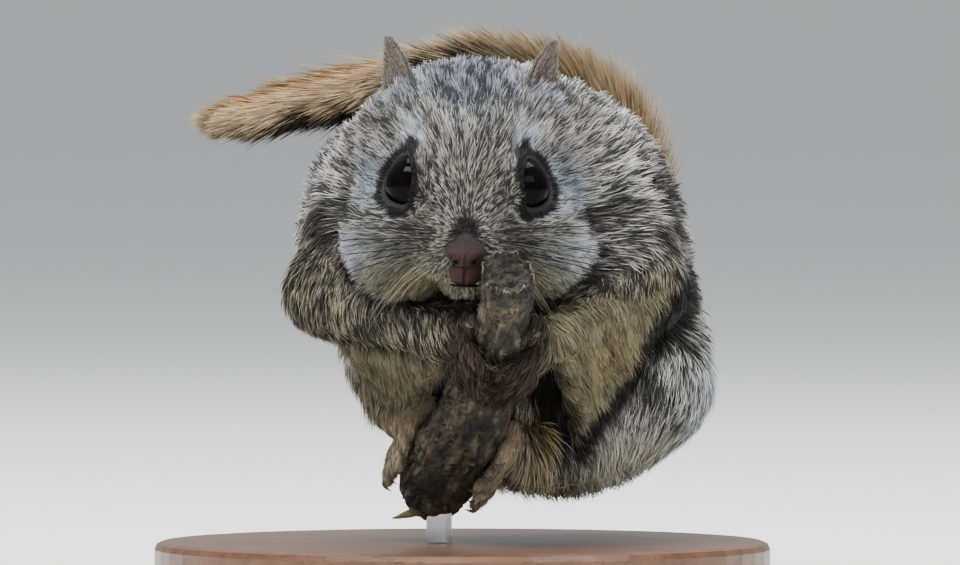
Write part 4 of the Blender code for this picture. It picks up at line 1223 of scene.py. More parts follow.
@dataclass
class Hair:
    """Hairs before they are drawn: roots, skin normals, headings, and one size each."""

    roots: Array
    normals: Array
    heading: Array
    length: Array
    width: Array
    height: Array
    drop: Array

    def part(self, spot: Array) -> "Hair":
        """Only the hairs of these numbers."""
        return Hair(*(getattr(self, name)[spot] for name in self.__dataclass_fields__))

    def blades(self, levels: int, draw: np.random.Generator) -> tuple[Array, Array, Array]:
        """Flat tapering blades that follow the skin's bend.

        A blade's centre at share t is root + length t h + (height (1.7 t - 0.7 t squared)
        - drop t squared) n, with h the heading and n the normal. Its width lies across
        both, turned by a random roll, and shrinks to nothing at the tip.

        Args:
            levels: Pairs of vertices below the tip.
            draw: The random draw.

        Returns:
            Vertices, triangles, and the share t of each vertex.
        """
        count = len(self.roots)
        shares = np.append(np.arange(levels) / levels, 1.0)
        centres = []
        for t in shares:
            rise = self.height * (1.7 * t - 0.7 * t * t) - self.drop * t * t
            run = self.heading * (self.length * t)[:, None]
            centres.append(self.roots + run + self.normals * rise[:, None])
        centres = np.stack(centres, axis=1)
        ahead = unit(centres[:, -1] - centres[:, 0])
        side = unit(np.cross(ahead, self.normals))
        roll = draw.normal(0, 0.55, count)[:, None]
        across = side * np.cos(roll) + np.cross(side, ahead) * np.sin(roll)
        taper = 1 - 0.5 * shares[None, :levels, None] ** 1.5
        half = self.width[:, None, None] / 2 * across[:, None, :] * taper
        body = centres[:, :levels]
        pairs = np.stack((body - half, body + half), axis=2).reshape(count, 2 * levels, 3)
        vertices = np.concatenate((pairs, centres[:, levels:]), axis=1)
        strip = []
        for low in range(0, 2 * levels - 2, 2):
            strip += [(low, low + 1, low + 3), (low, low + 3, low + 2)]
        strip.append((2 * levels - 2, 2 * levels - 1, 2 * levels))
        faces = np.arange(count)[:, None, None] * (2 * levels + 1) + np.array(strip)[None]
        along = np.append(np.repeat(shares[:levels], 2), 1.0)
        return vertices.reshape(-1, 3), faces.reshape(-1, 3), np.tile(along, count)


def draw_hair(name: str, hair: Hair, shades: tuple[Array, Array], places: Array, levels: int,
              draw: np.random.Generator, clear: Field | None = None) -> Piece:
    """Makes one piece of hair with its colours and its map.

    Args:
        name: The piece's name.
        hair: The hairs.
        shades: Root and tip colours of each hair.
        places: Each hair's place on the unwrap of the skin.
        levels: Pairs of vertices in a blade.
        draw: The random draw.
        clear: Moves vertices that must be elsewhere.

    Returns:
        The piece.
    """
    vertices, faces, along = hair.blades(levels, draw)
    if clear:
        vertices = clear(vertices)
    size = 2 * levels + 1
    obj = put_mesh(name, vertices, faces)
    fade = smooth(along, 0.15, 0.75)[:, None]
    root, tip = (np.repeat(shade, size, axis=0) for shade in shades)
    set_colours(obj, "coat", root * (1 - fade) + tip * fade)
    set_map(obj, patch_map(places, size, levels))
    return obj


def patch_map(places: Array, size: int, levels: int) -> Array:
    """A map of small patches: each tuft's vertices lie within about 0.003 of its root's place.

    Args:
        places: Each tuft's place on the unwrap, 0 to 1.
        size: Vertices in a tuft.
        levels: Pairs of vertices below its tip.

    Returns:
        One UV row for each vertex.
    """
    along = np.append(np.repeat(np.arange(levels) / levels, 2), 1.0)
    across = np.append(np.tile((-0.5, 0.5), levels), 0.0)
    patch = np.column_stack((across, along - 0.5)) * 0.003
    return (np.clip(places, 0.004, 0.996)[:, None, :] + patch[None, :size]).reshape(-1, 2)


@dataclass
class Roots:
    """Places where hair grows, with what the skin knows there."""

    points: Array
    normals: Array
    weights: Array


@dataclass
class Skin:
    """The one skin under the coat."""

    body: Body
    marks: Markings
    cell: float = 0.6
    vertices: Array = field(init=False)
    quads: Array = field(init=False)

    def build(self) -> Piece:
        """Nets the body's distance and colours it with the markings' root shades."""
        flesh = [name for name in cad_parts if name.split("_")[0] in FLESH]
        low = np.min([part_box(name)[0] for name in flesh], axis=0) / MM - 1.0
        high = np.max([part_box(name)[1] for name in flesh], axis=0) / MM + 1.0
        self.vertices, self.quads = net(self.body.skin, low, high, self.cell)
        obj = put_mesh("skin", self.vertices, self.quads)
        weights = self.marks.weights(self.vertices)
        roots, tips, _ = self.marks.shades(self.vertices, weights)
        bare = np.clip(weights[PAWS].sum(axis=0), 0, 1)[:, None]
        set_colours(obj, "coat", roots * (1 - bare) + (roots + tips) / 2 * bare)
        return dress(obj, SkinFinish().material(), "back_fur", *flesh)

    def scatter(self, seed: int) -> Roots:
        """Draws roots over the skin, denser where the hair is finer."""
        draw = np.random.default_rng(seed)
        a, b, c, d = (self.vertices[self.quads[:, k]] for k in range(4))
        area = np.linalg.norm(np.cross(c - a, d - b), axis=1) / 2
        weights = self.marks.weights((a + b + c + d) / 4)
        wanted = area * by_kind(weights, LIES, lambda kind: kind.dense)
        number = np.floor(wanted + draw.uniform(0, 1, len(wanted))).astype(int)
        spot = np.repeat(np.arange(len(wanted)), number)
        u, v = draw.uniform(0, 1, (2, len(spot), 1))
        points = (a[spot] * (1 - u) + b[spot] * u) * (1 - v) + (d[spot] * (1 - u) + c[spot] * u) * v
        return Roots(points, outward(self.body.skin, points), self.marks.weights(points))


FLESH = ("head", "neck", "torso", "arm", "hand", "leg", "foot", "patagium", "tail")


@dataclass
class Coat:
    """All the hair but the tail's and the ears': its lie, lengths and colours, parted into pieces."""

    body: Body
    marks: Markings
    skin: Skin
    parting: float = 7.0

    def heading(self, roots: Roots) -> Array:
        """Which way hair lies: back from the nose on the head, along each limb, to the tail's root."""
        points, weights = roots.points, roots.weights
        face = unit(points - self.body.head.out(LIE_SOURCE)[0])
        low = 1 - smooth(points[:, 2], 28.0, 52.0)
        trunk = face + (0.35, 0.75, -0.25) * smooth(points[:, 1], -8.0, 14.0)[:, None]
        trunk = trunk + (0.0, 0.1, -1.1) * low[:, None]
        total = face * weights[0][:, None] + unit(trunk) * weights[1][:, None]
        for first, group in ((Region.ARM_LEFT, self.body.arms), (Region.LEG_LEFT, self.body.legs)):
            for number, name in enumerate(SIDES):
                joints = np.array(group[name])
                from_root, from_end = (np.linalg.norm(points - joints[k], axis=1) for k in (0, 2))
                share = smooth(from_root - from_end, -8.0, 8.0)[:, None]
                way = unit(joints[1] - joints[0]) * (1 - share) + unit(joints[2] - joints[1]) * share
                way = way * 0.35 + (0.0, 0.0, -1.0)
                total = total + way * weights[first.value + number][:, None]
        for first, group in ((Region.HAND_LEFT, self.body.hands), (Region.FOOT_LEFT, self.body.feet)):
            for number, name in enumerate(SIDES):
                line = group[name][1].line
                way = unit(line[-1] - line[0]) + (0.0, 0.0, -0.3)
                total = total + way * weights[first.value + number][:, None]
        for region, way in ((Region.SHEET_LEFT, (0.62, 0.1, -1.0)), (Region.SHEET_RIGHT, (0.05, 0.1, -1.0))):
            total = total + unit(way) * weights[region.value][:, None]
        for side in SIDES.values():
            away = points - self.body.head.eye(side)
            near = 1 - smooth(np.linalg.norm(away, axis=1), 5.0, 7.6)
            total = total + unit(away) * (1.6 * near)[:, None]
        stray = np.column_stack([waves(points, 4.0, 30 + k) for k in range(3)])
        return along_surface(total + 0.10 * stray, roots.normals)

    def trims(self, points: Array) -> Array:
        """How much shorter hair is round the eyes, nose and mouth, 1 where it isn't."""
        local = self.body.head.into(points)
        eye = np.linalg.norm(folded(local) - EYE_CENTRE, axis=1)
        nose = np.linalg.norm(local - NOSE_MIDDLE, axis=1)
        return (0.40 + 0.60 * smooth(eye, 5.0, 10.0)) * (0.32 + 0.68 * smooth(nose, 3.0, 18.0))

    def kept(self, points: Array, weights: Array) -> Array:
        """Which roots stay: not those in the eyes, the nose pad, the stub or the tail."""
        local = self.body.head.into(points)
        eye = np.linalg.norm(folded(local) - EYE_CENTRE, axis=1)
        pad = np.linalg.norm((local - (0, -21.0, -9.6)) / (2.9, 2.8, 2.6), axis=1)
        lips = np.linalg.norm((local - (0, -20.4, -13.2)) / (2.0, 2.4, 1.7), axis=1)
        reach, rise = self.body.head.about_lid(points)
        opening = (reach < LID_REACH + 0.05) & (rise > LID_RISE - 0.8) & (eye < EYE_RADIUS + 0.4)
        bare = (eye < EYE_RADIUS + 0.15) | opening | (pad < 1.0) | (lips < 1.0)
        return ~bare & (self.body.stub.distance(points) > 0.15) & (weights[Region.TAIL.value] < 0.6)

    def comb(self, roots: Roots, draw: np.random.Generator) -> Hair:
        """Sizes and headings of every hair, bent so that each tip stands its height off the skin."""
        points, weights = roots.points, roots.weights
        length = by_kind(weights, LIES, lambda kind: kind.length)
        width = by_kind(weights, LIES, lambda kind: kind.width)
        height = by_kind(weights, LIES, lambda kind: kind.height)
        trims = self.trims(points)
        clump = waves(points, 1.5, 41)
        length = length * trims * (1 + 0.08 * clump) * draw.uniform(0.75, 1.15, len(points))
        height = height * trims * (1 + 0.22 * clump) * draw.uniform(0.55, 1.25, len(points))
        fringe = self.fringe(points, weights)
        length, height = length * (1 + 0.9 * fringe), height * (1 + 0.6 * fringe)
        heading = self.heading(roots)
        swirl = draw.normal(0, 0.11, len(points)) + 0.16 * waves(points, 1.3, 43)
        side = np.cross(roots.normals, heading)
        heading = heading * np.cos(swirl)[:, None] + side * np.sin(swirl)[:, None]
        drop = self.body.skin(points + heading * length[:, None])
        drop = np.clip(drop, -0.45 * length, 0.45 * length)
        return Hair(points - roots.normals * 0.12, roots.normals, heading, length, width, height, drop)

    @staticmethod
    def fringe(points: Array, weights: Array) -> Array:
        """Where hair is long and soft: along the belly's lower rim, but not out at the left thigh."""
        outer = smooth(points[:, 0], 22.0, 30.0)
        return 0.5 * (1 - smooth(points[:, 2], 20.0, 28.0)) * weights[Region.TRUNK.value] * (1 - 0.9 * outer)

    def grow(self) -> list[Piece]:
        """Grows the hair and parts it by place into named pieces."""
        roots = self.skin.scatter(SEED)
        spot = np.flatnonzero(self.kept(roots.points, roots.weights))
        roots = Roots(roots.points[spot], roots.normals[spot], roots.weights[:, spot])
        draw = np.random.default_rng(SEED + 1)
        hair = self.comb(roots, draw)
        root, tip = self.tints(roots, hair, draw)
        made = []
        for name, levels, chosen in self.parts(roots):
            spot = np.flatnonzero(chosen)
            around = unit(roots.points[spot] - roots.points[spot].mean(axis=0))
            places = np.column_stack((
                np.arctan2(around[:, 0], -around[:, 1]) / (2 * math.pi) + 0.5,
                np.arccos(np.clip(around[:, 2], -1, 1)) / math.pi,
            ))
            obj = draw_hair(name, hair.part(spot), (root[spot], tip[spot]), places, levels, draw, self.clear)
            slot = "belly_fur" if "sheets" in name else "back_fur"
            made.append(dress(obj, FurFinish(name.replace("coat", "fur")).material(), slot))
        return made

    def tints(self, roots: Roots, hair: Hair, draw: np.random.Generator) -> tuple[Array, Array]:
        """Root and tip colours of every hair, and guard hair drawn longer than underfur.

        Args:
            roots: The roots.
            hair: Their hairs, whose length and height change.
            draw: The random draw.

        Returns:
            Root colours and tip colours.
        """
        root, tip, dark = self.marks.shades(roots.points, roots.weights)
        count = len(roots.points)
        # Streaks run along the lie of the coat, so they are read by direction from the nose
        away = roots.points - self.body.head.out(LIE_SOURCE)[0]
        run = np.linalg.norm(away, axis=1, keepdims=True)
        streak = waves(away / run * 26.0 + run * (0.0, 0.15, 0.15), 0.75, 45)
        bright = np.clip(draw.normal(1.0, 0.24, count), 0.5, 1.7) * (1 + 0.20 * streak)
        bright = bright * (1 + 0.10 * waves(roots.points, 2.4, 44))
        is_dark = draw.uniform(0, 1, count) < dark * (1 - 0.75 * streak)
        guard = draw.uniform(0, 1, count) < 0.42
        depth = np.clip(dark / 0.4, 0, 1)
        under = np.where(guard, 1 + 0.35 * depth, 1 - 0.35 * depth)
        hair.height = hair.height * np.where(guard, 1.15, 0.9)
        hair.length = hair.length * np.where(guard, 1.1, 0.95)
        return root, np.where(is_dark[:, None], tip * 0.12, tip * (bright * under)[:, None])

    def parts(self, roots: Roots) -> list[tuple[str, int, Array]]:
        """Names of the coat's pieces, the levels of their blades, and which roots each one takes."""
        region = np.argmax(roots.weights, axis=0)
        points = roots.points
        head, trunk = region == Region.HEAD.value, region == Region.TRUNK.value
        high = self.body.head.into(points)[:, 2] > 0.0
        left = points[:, 0] > self.parting
        behind = points[:, 1] > 6.0
        rest = ~head & ~trunk
        paws = rest & (region >= Region.HAND_LEFT.value)
        return [
            ("coat_crown", 2, head & high), ("coat_cheeks", 2, head & ~high),
            ("coat_back_left", 3, trunk & left & behind), ("coat_back_right", 3, trunk & ~left & behind),
            ("coat_flank_left", 3, trunk & left & ~behind), ("coat_flank_right", 3, trunk & ~left & ~behind),
            ("coat_limbs", 3, rest & ~paws), ("coat_paws_and_sheets", 2, paws),
        ]

    def clear(self, vertices: Array) -> Array:
        """Moves hair out of the eyes and the stub."""
        for side in SIDES.values():
            centre = self.body.head.eye(side)
            away = vertices - centre
            near = np.linalg.norm(away, axis=1, keepdims=True) < EYE_RADIUS + 0.12
            vertices = np.where(near, centre + unit(away) * (EYE_RADIUS + 0.12), vertices)
        gap = self.body.stub.distance(vertices)
        close = np.flatnonzero(gap < 0.35)
        if len(close):
            way = outward(self.body.stub.distance, vertices[close])
            vertices[close] += way * (0.35 - gap[close])[:, None]
        return vertices


@dataclass
class TailCoat:
    """The tail's long hair, parted to both sides like a feather."""

    body: Body
    count: int = 64000
    levels: int = 3
    top: float = 85.6

    def comb(self, shares: Array, angle: Array, draw: np.random.Generator) -> Hair:
        """Hair from all round the tail's flesh, swept back and out to its flat edges.

        Args:
            shares: Each hair's share of the tail's length.
            angle: Its turn round the tail, 0 at the edge.
            draw: The random draw.

        Returns:
            The hairs.
        """
        centres, ahead, width, depth = self.body.tail_frame(shares)
        full = self.body.tail_fullness(shares)
        cosine, sine = np.cos(angle)[:, None], np.sin(angle)[:, None]
        core = np.interp(shares, (0, 0.1, 1), (3.0, 2.2, 0.8))[:, None]
        points = centres + (width * cosine + depth * sine) * core
        sideways = np.sign(cosine) * np.abs(cosine) ** 0.7
        splay = 0.62 * (1 - 0.55 * smooth(shares, 0.75, 1.0))[:, None]
        heading = unit(ahead + width * sideways * splay + depth * sine * 0.10)
        swirl = draw.normal(0, 0.09, len(shares))[:, None] + 0.09 * waves(points, 2.4, 52)[:, None]
        normals = along_surface(width * cosine + depth * sine, heading)
        heading = heading * np.cos(swirl) + np.cross(normals, heading) * np.sin(swirl)
        edge = np.abs(cosine[:, 0])
        length = full * (6.5 + 8.0 * edge) * draw.uniform(0.72, 1.1, len(shares))
        length = length * (1 + 0.06 * waves(points, 2.0, 51))
        height = length * (0.10 + 0.14 * (1 - edge)) * draw.uniform(0.5, 1.5, len(shares))
        length = self.trimmed(points, heading, length, draw)
        zero = np.zeros(len(shares))
        return Hair(points, normals, heading, length, zero + 0.19, height, zero)

    def trimmed(self, points: Array, heading: Array, length: Array, draw: np.random.Generator) -> Array:
        """Shortens hair whose tip would pass the tail's top line or stand out past the left flank.

        Below the loin, the flank's outline is the back's ellipse at the hair's height.
        """
        ragged = draw.normal(0, 0.7, len(length))
        body = self.body
        high = np.clip((points[:, 2] - body.back[2]) / 27.0, -0.95, 0.95)
        flank = body.back[0] + body.half_width * np.sqrt(1 - high**2) - 2.6
        flank = flank + 8.0 * smooth(points[:, 2], 70.0, 75.0)
        for axis, limit in ((2, self.top), (0, flank)):
            over = points[:, axis] + heading[:, axis] * length - limit - ragged
            run = np.maximum(heading[:, axis] * length, 1e-6)
            length = np.where(over > 0, length * np.clip(1 - over / run, 0.16, 1), length)
        return length

    def grow(self) -> list[Piece]:
        """Draws the tail's hair in two pieces: orange-buff, with a pale fringe and painted shade on its
        underside.
        """
        draw = np.random.default_rng(SEED + 7)
        shares = draw.uniform(0.03, 0.985, self.count)
        angle = draw.uniform(0, 2 * math.pi, self.count)
        hair = self.comb(shares, angle, draw)
        edge, above = np.abs(np.cos(angle)), np.sin(angle)
        points = hair.roots
        # Painted shade on the underside of the tail's free part, where its hair faces down
        under = smooth(-above, -0.25, 0.35) * smooth(shares, 0.50, 0.66)
        under = under * (1 - 0.6 * smooth(shares, 0.88, 1.0))
        under, fringe = under[:, None], (smooth(edge, 0.55, 0.95) * 0.75)[:, None]
        tip = linear("a88a63") + (linear("b5a488") - linear("a88a63")) * fringe
        root = linear("7d4f20") + (linear("77654c") - linear("7d4f20")) * fringe
        tip = tip * (1 - under) + linear("21160e") * under
        root = root * (1 - under) + linear("0d0805") * under
        bright = np.clip(draw.normal(1.0, 0.2, self.count), 0.5, 1.6) * (1 + 0.10 * waves(points, 1.6, 53))
        root, tip = root * bright[:, None], tip * bright[:, None]
        places = np.column_stack((shares, angle / (2 * math.pi)))
        made = []
        for name, chosen in (("tail_coat_root", shares < 0.5), ("tail_coat_end", shares >= 0.5)):
            spot = np.flatnonzero(chosen)
            obj = draw_hair(name, hair.part(spot), (root[spot], tip[spot]), places[spot], self.levels, draw)
            made.append(dress(obj, FurFinish(name.replace("coat", "fur")).material(), "tail_fur"))
        return made


# The face's own pieces

AHEAD = np.array((0.0, -1.0, 0.0))
# The mouth line from its middle to a corner, and its radii
MOUTH = np.array([(0, -20.1, -15.0), (1.0, -19.9, -14.95), (1.8, -19.3, -14.9), (2.4, -18.4, -14.8)])
MOUTH_RADII = (0.16, 0.20, 0.16, 0.03)


@dataclass
class Face:
    """Eyes, lids, nose pad, lips and whiskers."""

    head: Head

    def ball(self, centre: Array, radii: Array, axis: Array, rings: int, sides: int) -> tuple[Array, Array]:
        """An egg about an axis: rings at polar angle p have radius sin p, and lie at cos p along it."""
        axis = unit(axis)
        sideways = unit(np.cross(axis, (0.0, 0.0, 1.0)))
        upward = np.cross(sideways, axis)
        polar = np.linspace(0, math.pi, rings)[1:-1, None, None]
        turn = whole_turn(sides)[None, :, None]
        around = np.cos(turn) * sideways * radii[0] + np.sin(turn) * upward * radii[1]
        rows = centre - np.cos(polar) * axis * radii[2] + np.sin(polar) * around
        ends = centre - axis * radii[2], centre + axis * radii[2]
        first, last = (np.repeat(end[None, None], sides, 1) for end in ends)
        rows = np.concatenate((first, rows, last))
        rows[0] = ends[0] + (rows[1] - ends[0]) * 0.01
        rows[-1] = ends[1] + (rows[-2] - ends[1]) * 0.01
        return rows.reshape(-1, 3), grid_faces(rings, sides, around=True)

    def build(self) -> list[Piece]:
        """All of the face's pieces."""
        made = []
        glass = GlassEyeFinish().material()
        lid_skin = BareSkinFinish("lid_skin", "0a0908", "040303", 0.3, 0.7, shine=0.08).material()
        for name, side in SIDES.items():
            axis = mirrored(EYE_AXIS, side)
            ball = self.ball(self.head.eye(side), np.full(3, EYE_RADIUS), axis, 48, 64)
            made.append(dress(put_mesh("eyeball_" + name, *ball), glass, "eye_gloss", "eye_" + name))
            made.append(dress(self.lids(name, side), lid_skin, "eye_gloss"))
        made += [self.nose(), self.lips(), self.mouth()]
        made += self.whiskers()
        return made

    def lids(self, name: str, side: float) -> Piece:
        """A soft black rim round the eye: a ring whose section is an egg, drawn to a corner in front.

        Args:
            name: left or right.
            side: +1 or -1.

        Returns:
            The rim.
        """
        sides, ring = 96, 16
        axis = mirrored(LID_AXIS, side)
        upward = unit(np.array((0.0, 0.0, 1.0)) - axis * axis[2])
        forward = np.cross(upward, axis) * side
        turn = whole_turn(sides)
        spokes = np.cos(turn)[:, None] * forward + np.sin(turn)[:, None] * upward
        reach = LID_REACH - 0.32 + 0.12 * np.clip(np.cos(turn), 0, 1) ** 6
        centres = mirrored(EYE_CENTRE, side) + axis * (LID_RISE + 0.12) + spokes * reach[:, None]
        section = whole_turn(ring)
        spoke = spokes[:, None, :] * np.cos(section)[None, :, None] * 0.36
        vertices = centres[:, None, :] + spoke + axis * np.sin(section)[None, :, None] * 0.42
        faces = grid_faces(sides + 1, ring, around=True) % (sides * ring)
        return put_mesh("eyelid_" + name, self.head.out(vertices.reshape(-1, 3)), faces[:, ::int(-side)])

    def nose(self) -> Piece:
        """The bare nose pad, pressed in at the nostrils and along its middle line, with painted shade in
        those hollows.
        """
        seat = np.array((0.0, -20.6, -9.6))
        vertices, faces = self.ball(seat + (0, 0.5, 0.0), np.array((3.0, 2.7, 2.0)), AHEAD, 96, 120)
        local = vertices - seat
        local[:, 0] *= 1 - 0.10 * smooth(-local[:, 2], 0.2, 2.6) - 0.34 * smooth(local[:, 2], 0.4, 2.8)
        front = smooth(-local[:, 1], -0.2, 0.9)
        side = np.abs(local[:, 0])
        nostril = np.exp(-(((side - 1.55) / 0.62) ** 2 + ((local[:, 2] + 1.75) / 0.36) ** 2))
        slit = np.exp(-(((side - 2.35) / 0.45) ** 2 + ((local[:, 2] + 1.15) / 0.45) ** 2))
        middle = np.exp(-((local[:, 0] / 0.20) ** 2)) * smooth(-local[:, 2], 0.2, 1.6)
        wing = np.exp(-(((side - 1.9) / 0.8) ** 2 + ((local[:, 2] + 0.6) / 0.8) ** 2))
        local[:, 1] += front * (1.2 * nostril + 0.7 * slit + 0.30 * middle - 0.22 * wing)
        obj = put_mesh("nose_pad", self.head.out(local + seat), faces)
        # Painted shade in the nostrils, their slits and the middle groove, where the pad is pressed in; its
        # darker top is the skin's own colour
        hollow = np.clip(1.6 * nostril + 1.2 * slit + 0.5 * middle, 0, 1) * front
        tint = (1 - 0.96 * hollow) * (1 - 0.72 * smooth(local[:, 2], -0.2, 1.8))
        set_colours(obj, "tint", np.repeat(tint[:, None], 3, axis=1))
        finish = BareSkinFinish("nose_leather", "412824", "180d0b", 0.20, 0.55, 0.8, 0.25, tinted=True)
        return dress(obj, finish.material(), "nose_skin", "nose")

    def lips(self) -> Piece:
        """The split upper lip: an egg parted by a groove down its middle."""
        seat = np.array((0.0, -18.9, -13.0))
        vertices, faces = self.ball(seat, np.array((2.5, 2.1, 2.2)), AHEAD, 48, 72)
        local = vertices - seat
        groove = np.exp(-((local[:, 0] / 0.28) ** 2)) + 0.8 * smooth(-local[:, 2], 1.2, 1.9)
        local[:, 1] += smooth(-local[:, 1], 0.0, 1.2) * 0.55 * groove
        obj = put_mesh("upper_lip", self.head.out(local + seat), faces)
        finish = BareSkinFinish("lip_skin", "3d2823", "1d1210", 0.3, 0.65, shine=0.15)
        return dress(obj, finish.material(), "nose_skin")

    def mouth(self) -> Piece:
        """The dark line of the mouth from its middle to both corners."""
        lines = [self.head.out(MOUTH * (side, 1, 1)) for side in SIDES.values()]
        obj = put_mesh("mouth_line", *joined([tapered(line, MOUTH_RADII, 8, 24) for line in lines]))
        finish = BareSkinFinish("mouth_skin", "120b09", "050303", 0.3, 0.7, shine=0.08)
        return dress(obj, finish.material(), "nose_skin")

    def whiskers(self) -> list[Piece]:
        """Long black whiskers from both pads, with a few pale ones below."""
        draw = np.random.default_rng(SEED + 21)
        groups = {"black": [], "pale": []}
        for side in SIDES.values():
            for number in range(26):
                row, column = divmod(number, 6)
                pale = row >= 3
                start = np.array((2.9 + 0.6 * column, -18.2 + 0.8 * column, -6.7 - 1.2 * row))
                length = draw.uniform(9, 14) if pale else draw.uniform(15, 22)
                rise = (-0.35 if pale else 0.10 - 0.13 * row) + draw.normal(0, 0.06)
                way = unit(np.array((1.0, 0.06 + 0.09 * column + draw.normal(0, 0.04), rise)))
                droop = np.array((-0.2, 0.15, -0.95)) if pale else np.array((0.0, 0.45, -0.12))
                line = [
                    mirrored(start + way * length * t + droop * length * t * t * 0.55, side)
                    for t in (0, 0.35, 0.7, 1.0)
                ]
                line = self.head.out(np.array(line))
                thick = np.array((0.10, 0.09, 0.065, 0.02)) * (0.48 if pale else 1.15)
                groups["pale" if pale else "black"].append(tapered(line, thick, 5, 14))
        made = []
        for name, shade in (("black", ("100d0b", "030303")), ("pale", ("8f897c", "645f54"))):
            vertices, faces = joined(groups[name])
            obj = put_mesh("whiskers_" + name, vertices, faces)
            finish = BareSkinFinish("whisker_hair_" + name, *shade, roughness=0.5, bump=0.1, shine=0.2)
            made.append(dress(obj, finish.material(), "back_fur"))
        return made


@dataclass
class Ears:
    """Thin, cupped ears that open outwards and forwards."""

    head: Head
    length: float = 12.3
    half_width: float = 3.9
    lean: float = 1.3
    fuzz: int = 5200

    def leaf(self, side: float, rows: int, columns: int, inset: float) -> Array:
        """One sheet of an ear.

        Across, it is an arc that wraps less towards the tip. Up, its half width swells as a
        sine and closes to a point as (1 - height to the power 2) to the power 0.8. The whole
        leaf leans outwards by the square of its height.

        Args:
            side: +1 or -1.
            rows: Vertices up.
            columns: Vertices across.
            inset: Shift towards the opening, in mm.

        Returns:
            A grid of places in the head's frame.
        """
        root = mirrored((8.4, 3.6, 11.4), side)
        upward = unit(mirrored((0.30, 0.26, 1.0), side))
        opening = mirrored((0.82, -0.57, 0.0), side)
        opening = unit(opening - upward * (opening @ upward))
        across = np.cross(upward, opening)
        height = np.linspace(0, 0.9995, rows)
        span = np.linspace(-1, 1, columns)
        half = self.half_width * (1 - height**2) ** 0.8
        half = half * (0.72 + 0.28 * np.sin(math.pi * height**0.8)) + 0.10
        wrap = 1.15 - 0.70 * height
        angle = span[None, :] * wrap[:, None]
        curl = half[:, None] / np.sin(wrap)[:, None]
        depth = curl * (1 - np.cos(angle))
        grid = root + (height * self.length)[:, None, None] * upward + depth[..., None] * opening
        grid = grid + (curl * np.sin(angle))[..., None] * across
        grid = grid + mirrored((self.lean, 0.0, 0.0), side) * (height**2)[:, None, None]
        inward = np.cos(angle)[..., None] * opening - np.sin(angle)[..., None] * across
        return grid + inward * inset * np.clip(1 - np.abs(span)[None, :, None] ** 6, 0.1, 1)

    def build(self) -> list[Piece]:
        """Both ears, as closed leaves, each with a fuzz of short hair."""
        rows, columns = 42, 33
        made = []
        skin = BareSkinFinish("ear_leather", "5f534b", "32281f", 0.4, 0.6).material()
        for name, side in SIDES.items():
            front = self.leaf(side, rows, columns, 0.24).reshape(-1, 3)
            rear = self.leaf(side, rows, columns, -0.24).reshape(-1, 3)
            half = rows * columns
            sheet = grid_faces(rows, columns)
            border = np.concatenate((
                np.arange(columns), np.arange(1, rows) * columns + columns - 1,
                (rows - 1) * columns + np.arange(columns - 2, -1, -1), np.arange(rows - 2, 0, -1) * columns,
            ))
            after = np.roll(border, -1)
            rim = np.column_stack((border, after, after + half, border + half))
            faces = np.vstack((sheet[:, ::-1], sheet + half, rim))
            leaf = self.head.out(np.vstack((front, rear)))
            obj = put_mesh("ear_leaf_" + name, leaf, faces[:, ::int(side)])
            made.append(dress(obj, skin, "ear_skin", "ear_" + name))
            made.append(self.down(name, side))
        return made

    def down(self, name: str, side: float) -> Piece:
        """Short down over both faces of an ear, longest along its rims.

        Args:
            name: left or right.
            side: +1 or -1.

        Returns:
            The down.
        """
        rows, columns = 60, 41
        draw = np.random.default_rng(SEED + 31)
        height, span = draw.uniform(0.05, 0.97, self.fuzz), draw.uniform(-1, 1, self.fuzz)
        span = np.sign(span) * np.abs(span) ** 0.6
        row, column = height * (rows - 1), (span + 1) / 2 * (columns - 1)
        inside = draw.uniform(0, 1, self.fuzz) < 0.45
        leaves = [self.leaf(side, rows, columns, inset) for inset in (-0.22, 0.22)]
        spot = (row.astype(int), np.clip(column.astype(int), 0, columns - 2))
        u, v = (row - spot[0])[:, None], (column - spot[1])[:, None]

        def read(grid: Array) -> Array:
            """The grid's place at each root, by mixing its four corners."""
            low = grid[spot] * (1 - v) + grid[spot[0], spot[1] + 1] * v
            high = grid[spot[0] + 1, spot[1]] * (1 - v) + grid[spot[0] + 1, spot[1] + 1] * v
            return low * (1 - u) + high * u

        rear, front = (read(leaf) for leaf in leaves)
        roots = np.where(inside[:, None], front, rear)
        normals = unit(np.where(inside[:, None], front - rear, rear - front))
        upward = unit(leaves[0][spot[0] + 1, spot[1]] - leaves[0][spot])
        outwards = unit(leaves[0][spot[0], spot[1] + 1] - leaves[0][spot]) * np.sign(span)[:, None]
        rim = smooth(np.abs(span), 0.75, 1.0)
        heading = upward + outwards * (0.7 * rim)[:, None] + 0.12 * draw.normal(size=roots.shape)
        heading = along_surface(heading, normals)
        length = (0.9 + 0.7 * rim) * (1 - 0.55 * height) * draw.uniform(0.6, 1.2, self.fuzz)
        zero = np.zeros(self.fuzz)
        roots, tips = self.head.out(roots), self.head.out(roots + heading)
        hair = Hair(roots, self.head.turn(normals, 1), tips - roots, length, zero + 0.10,
                    length * draw.uniform(0.15, 0.55, self.fuzz), zero)
        bright = np.clip(draw.normal(1, 0.25, self.fuzz), 0.4, 1.7)[:, None]
        tip = np.where(inside[:, None], linear("8b847c"), linear("958d80")) * bright
        root = np.where(inside[:, None], linear("4a4038"), linear("37332f")) * bright
        places = np.column_stack((height, (span + 1) / 4 + 0.5 * inside))
        obj = draw_hair("ear_down_" + name, hair, (root, tip), places, 2, draw)
        return dress(obj, FurFinish("ear_down_hair_" + name).material(), "ear_skin")


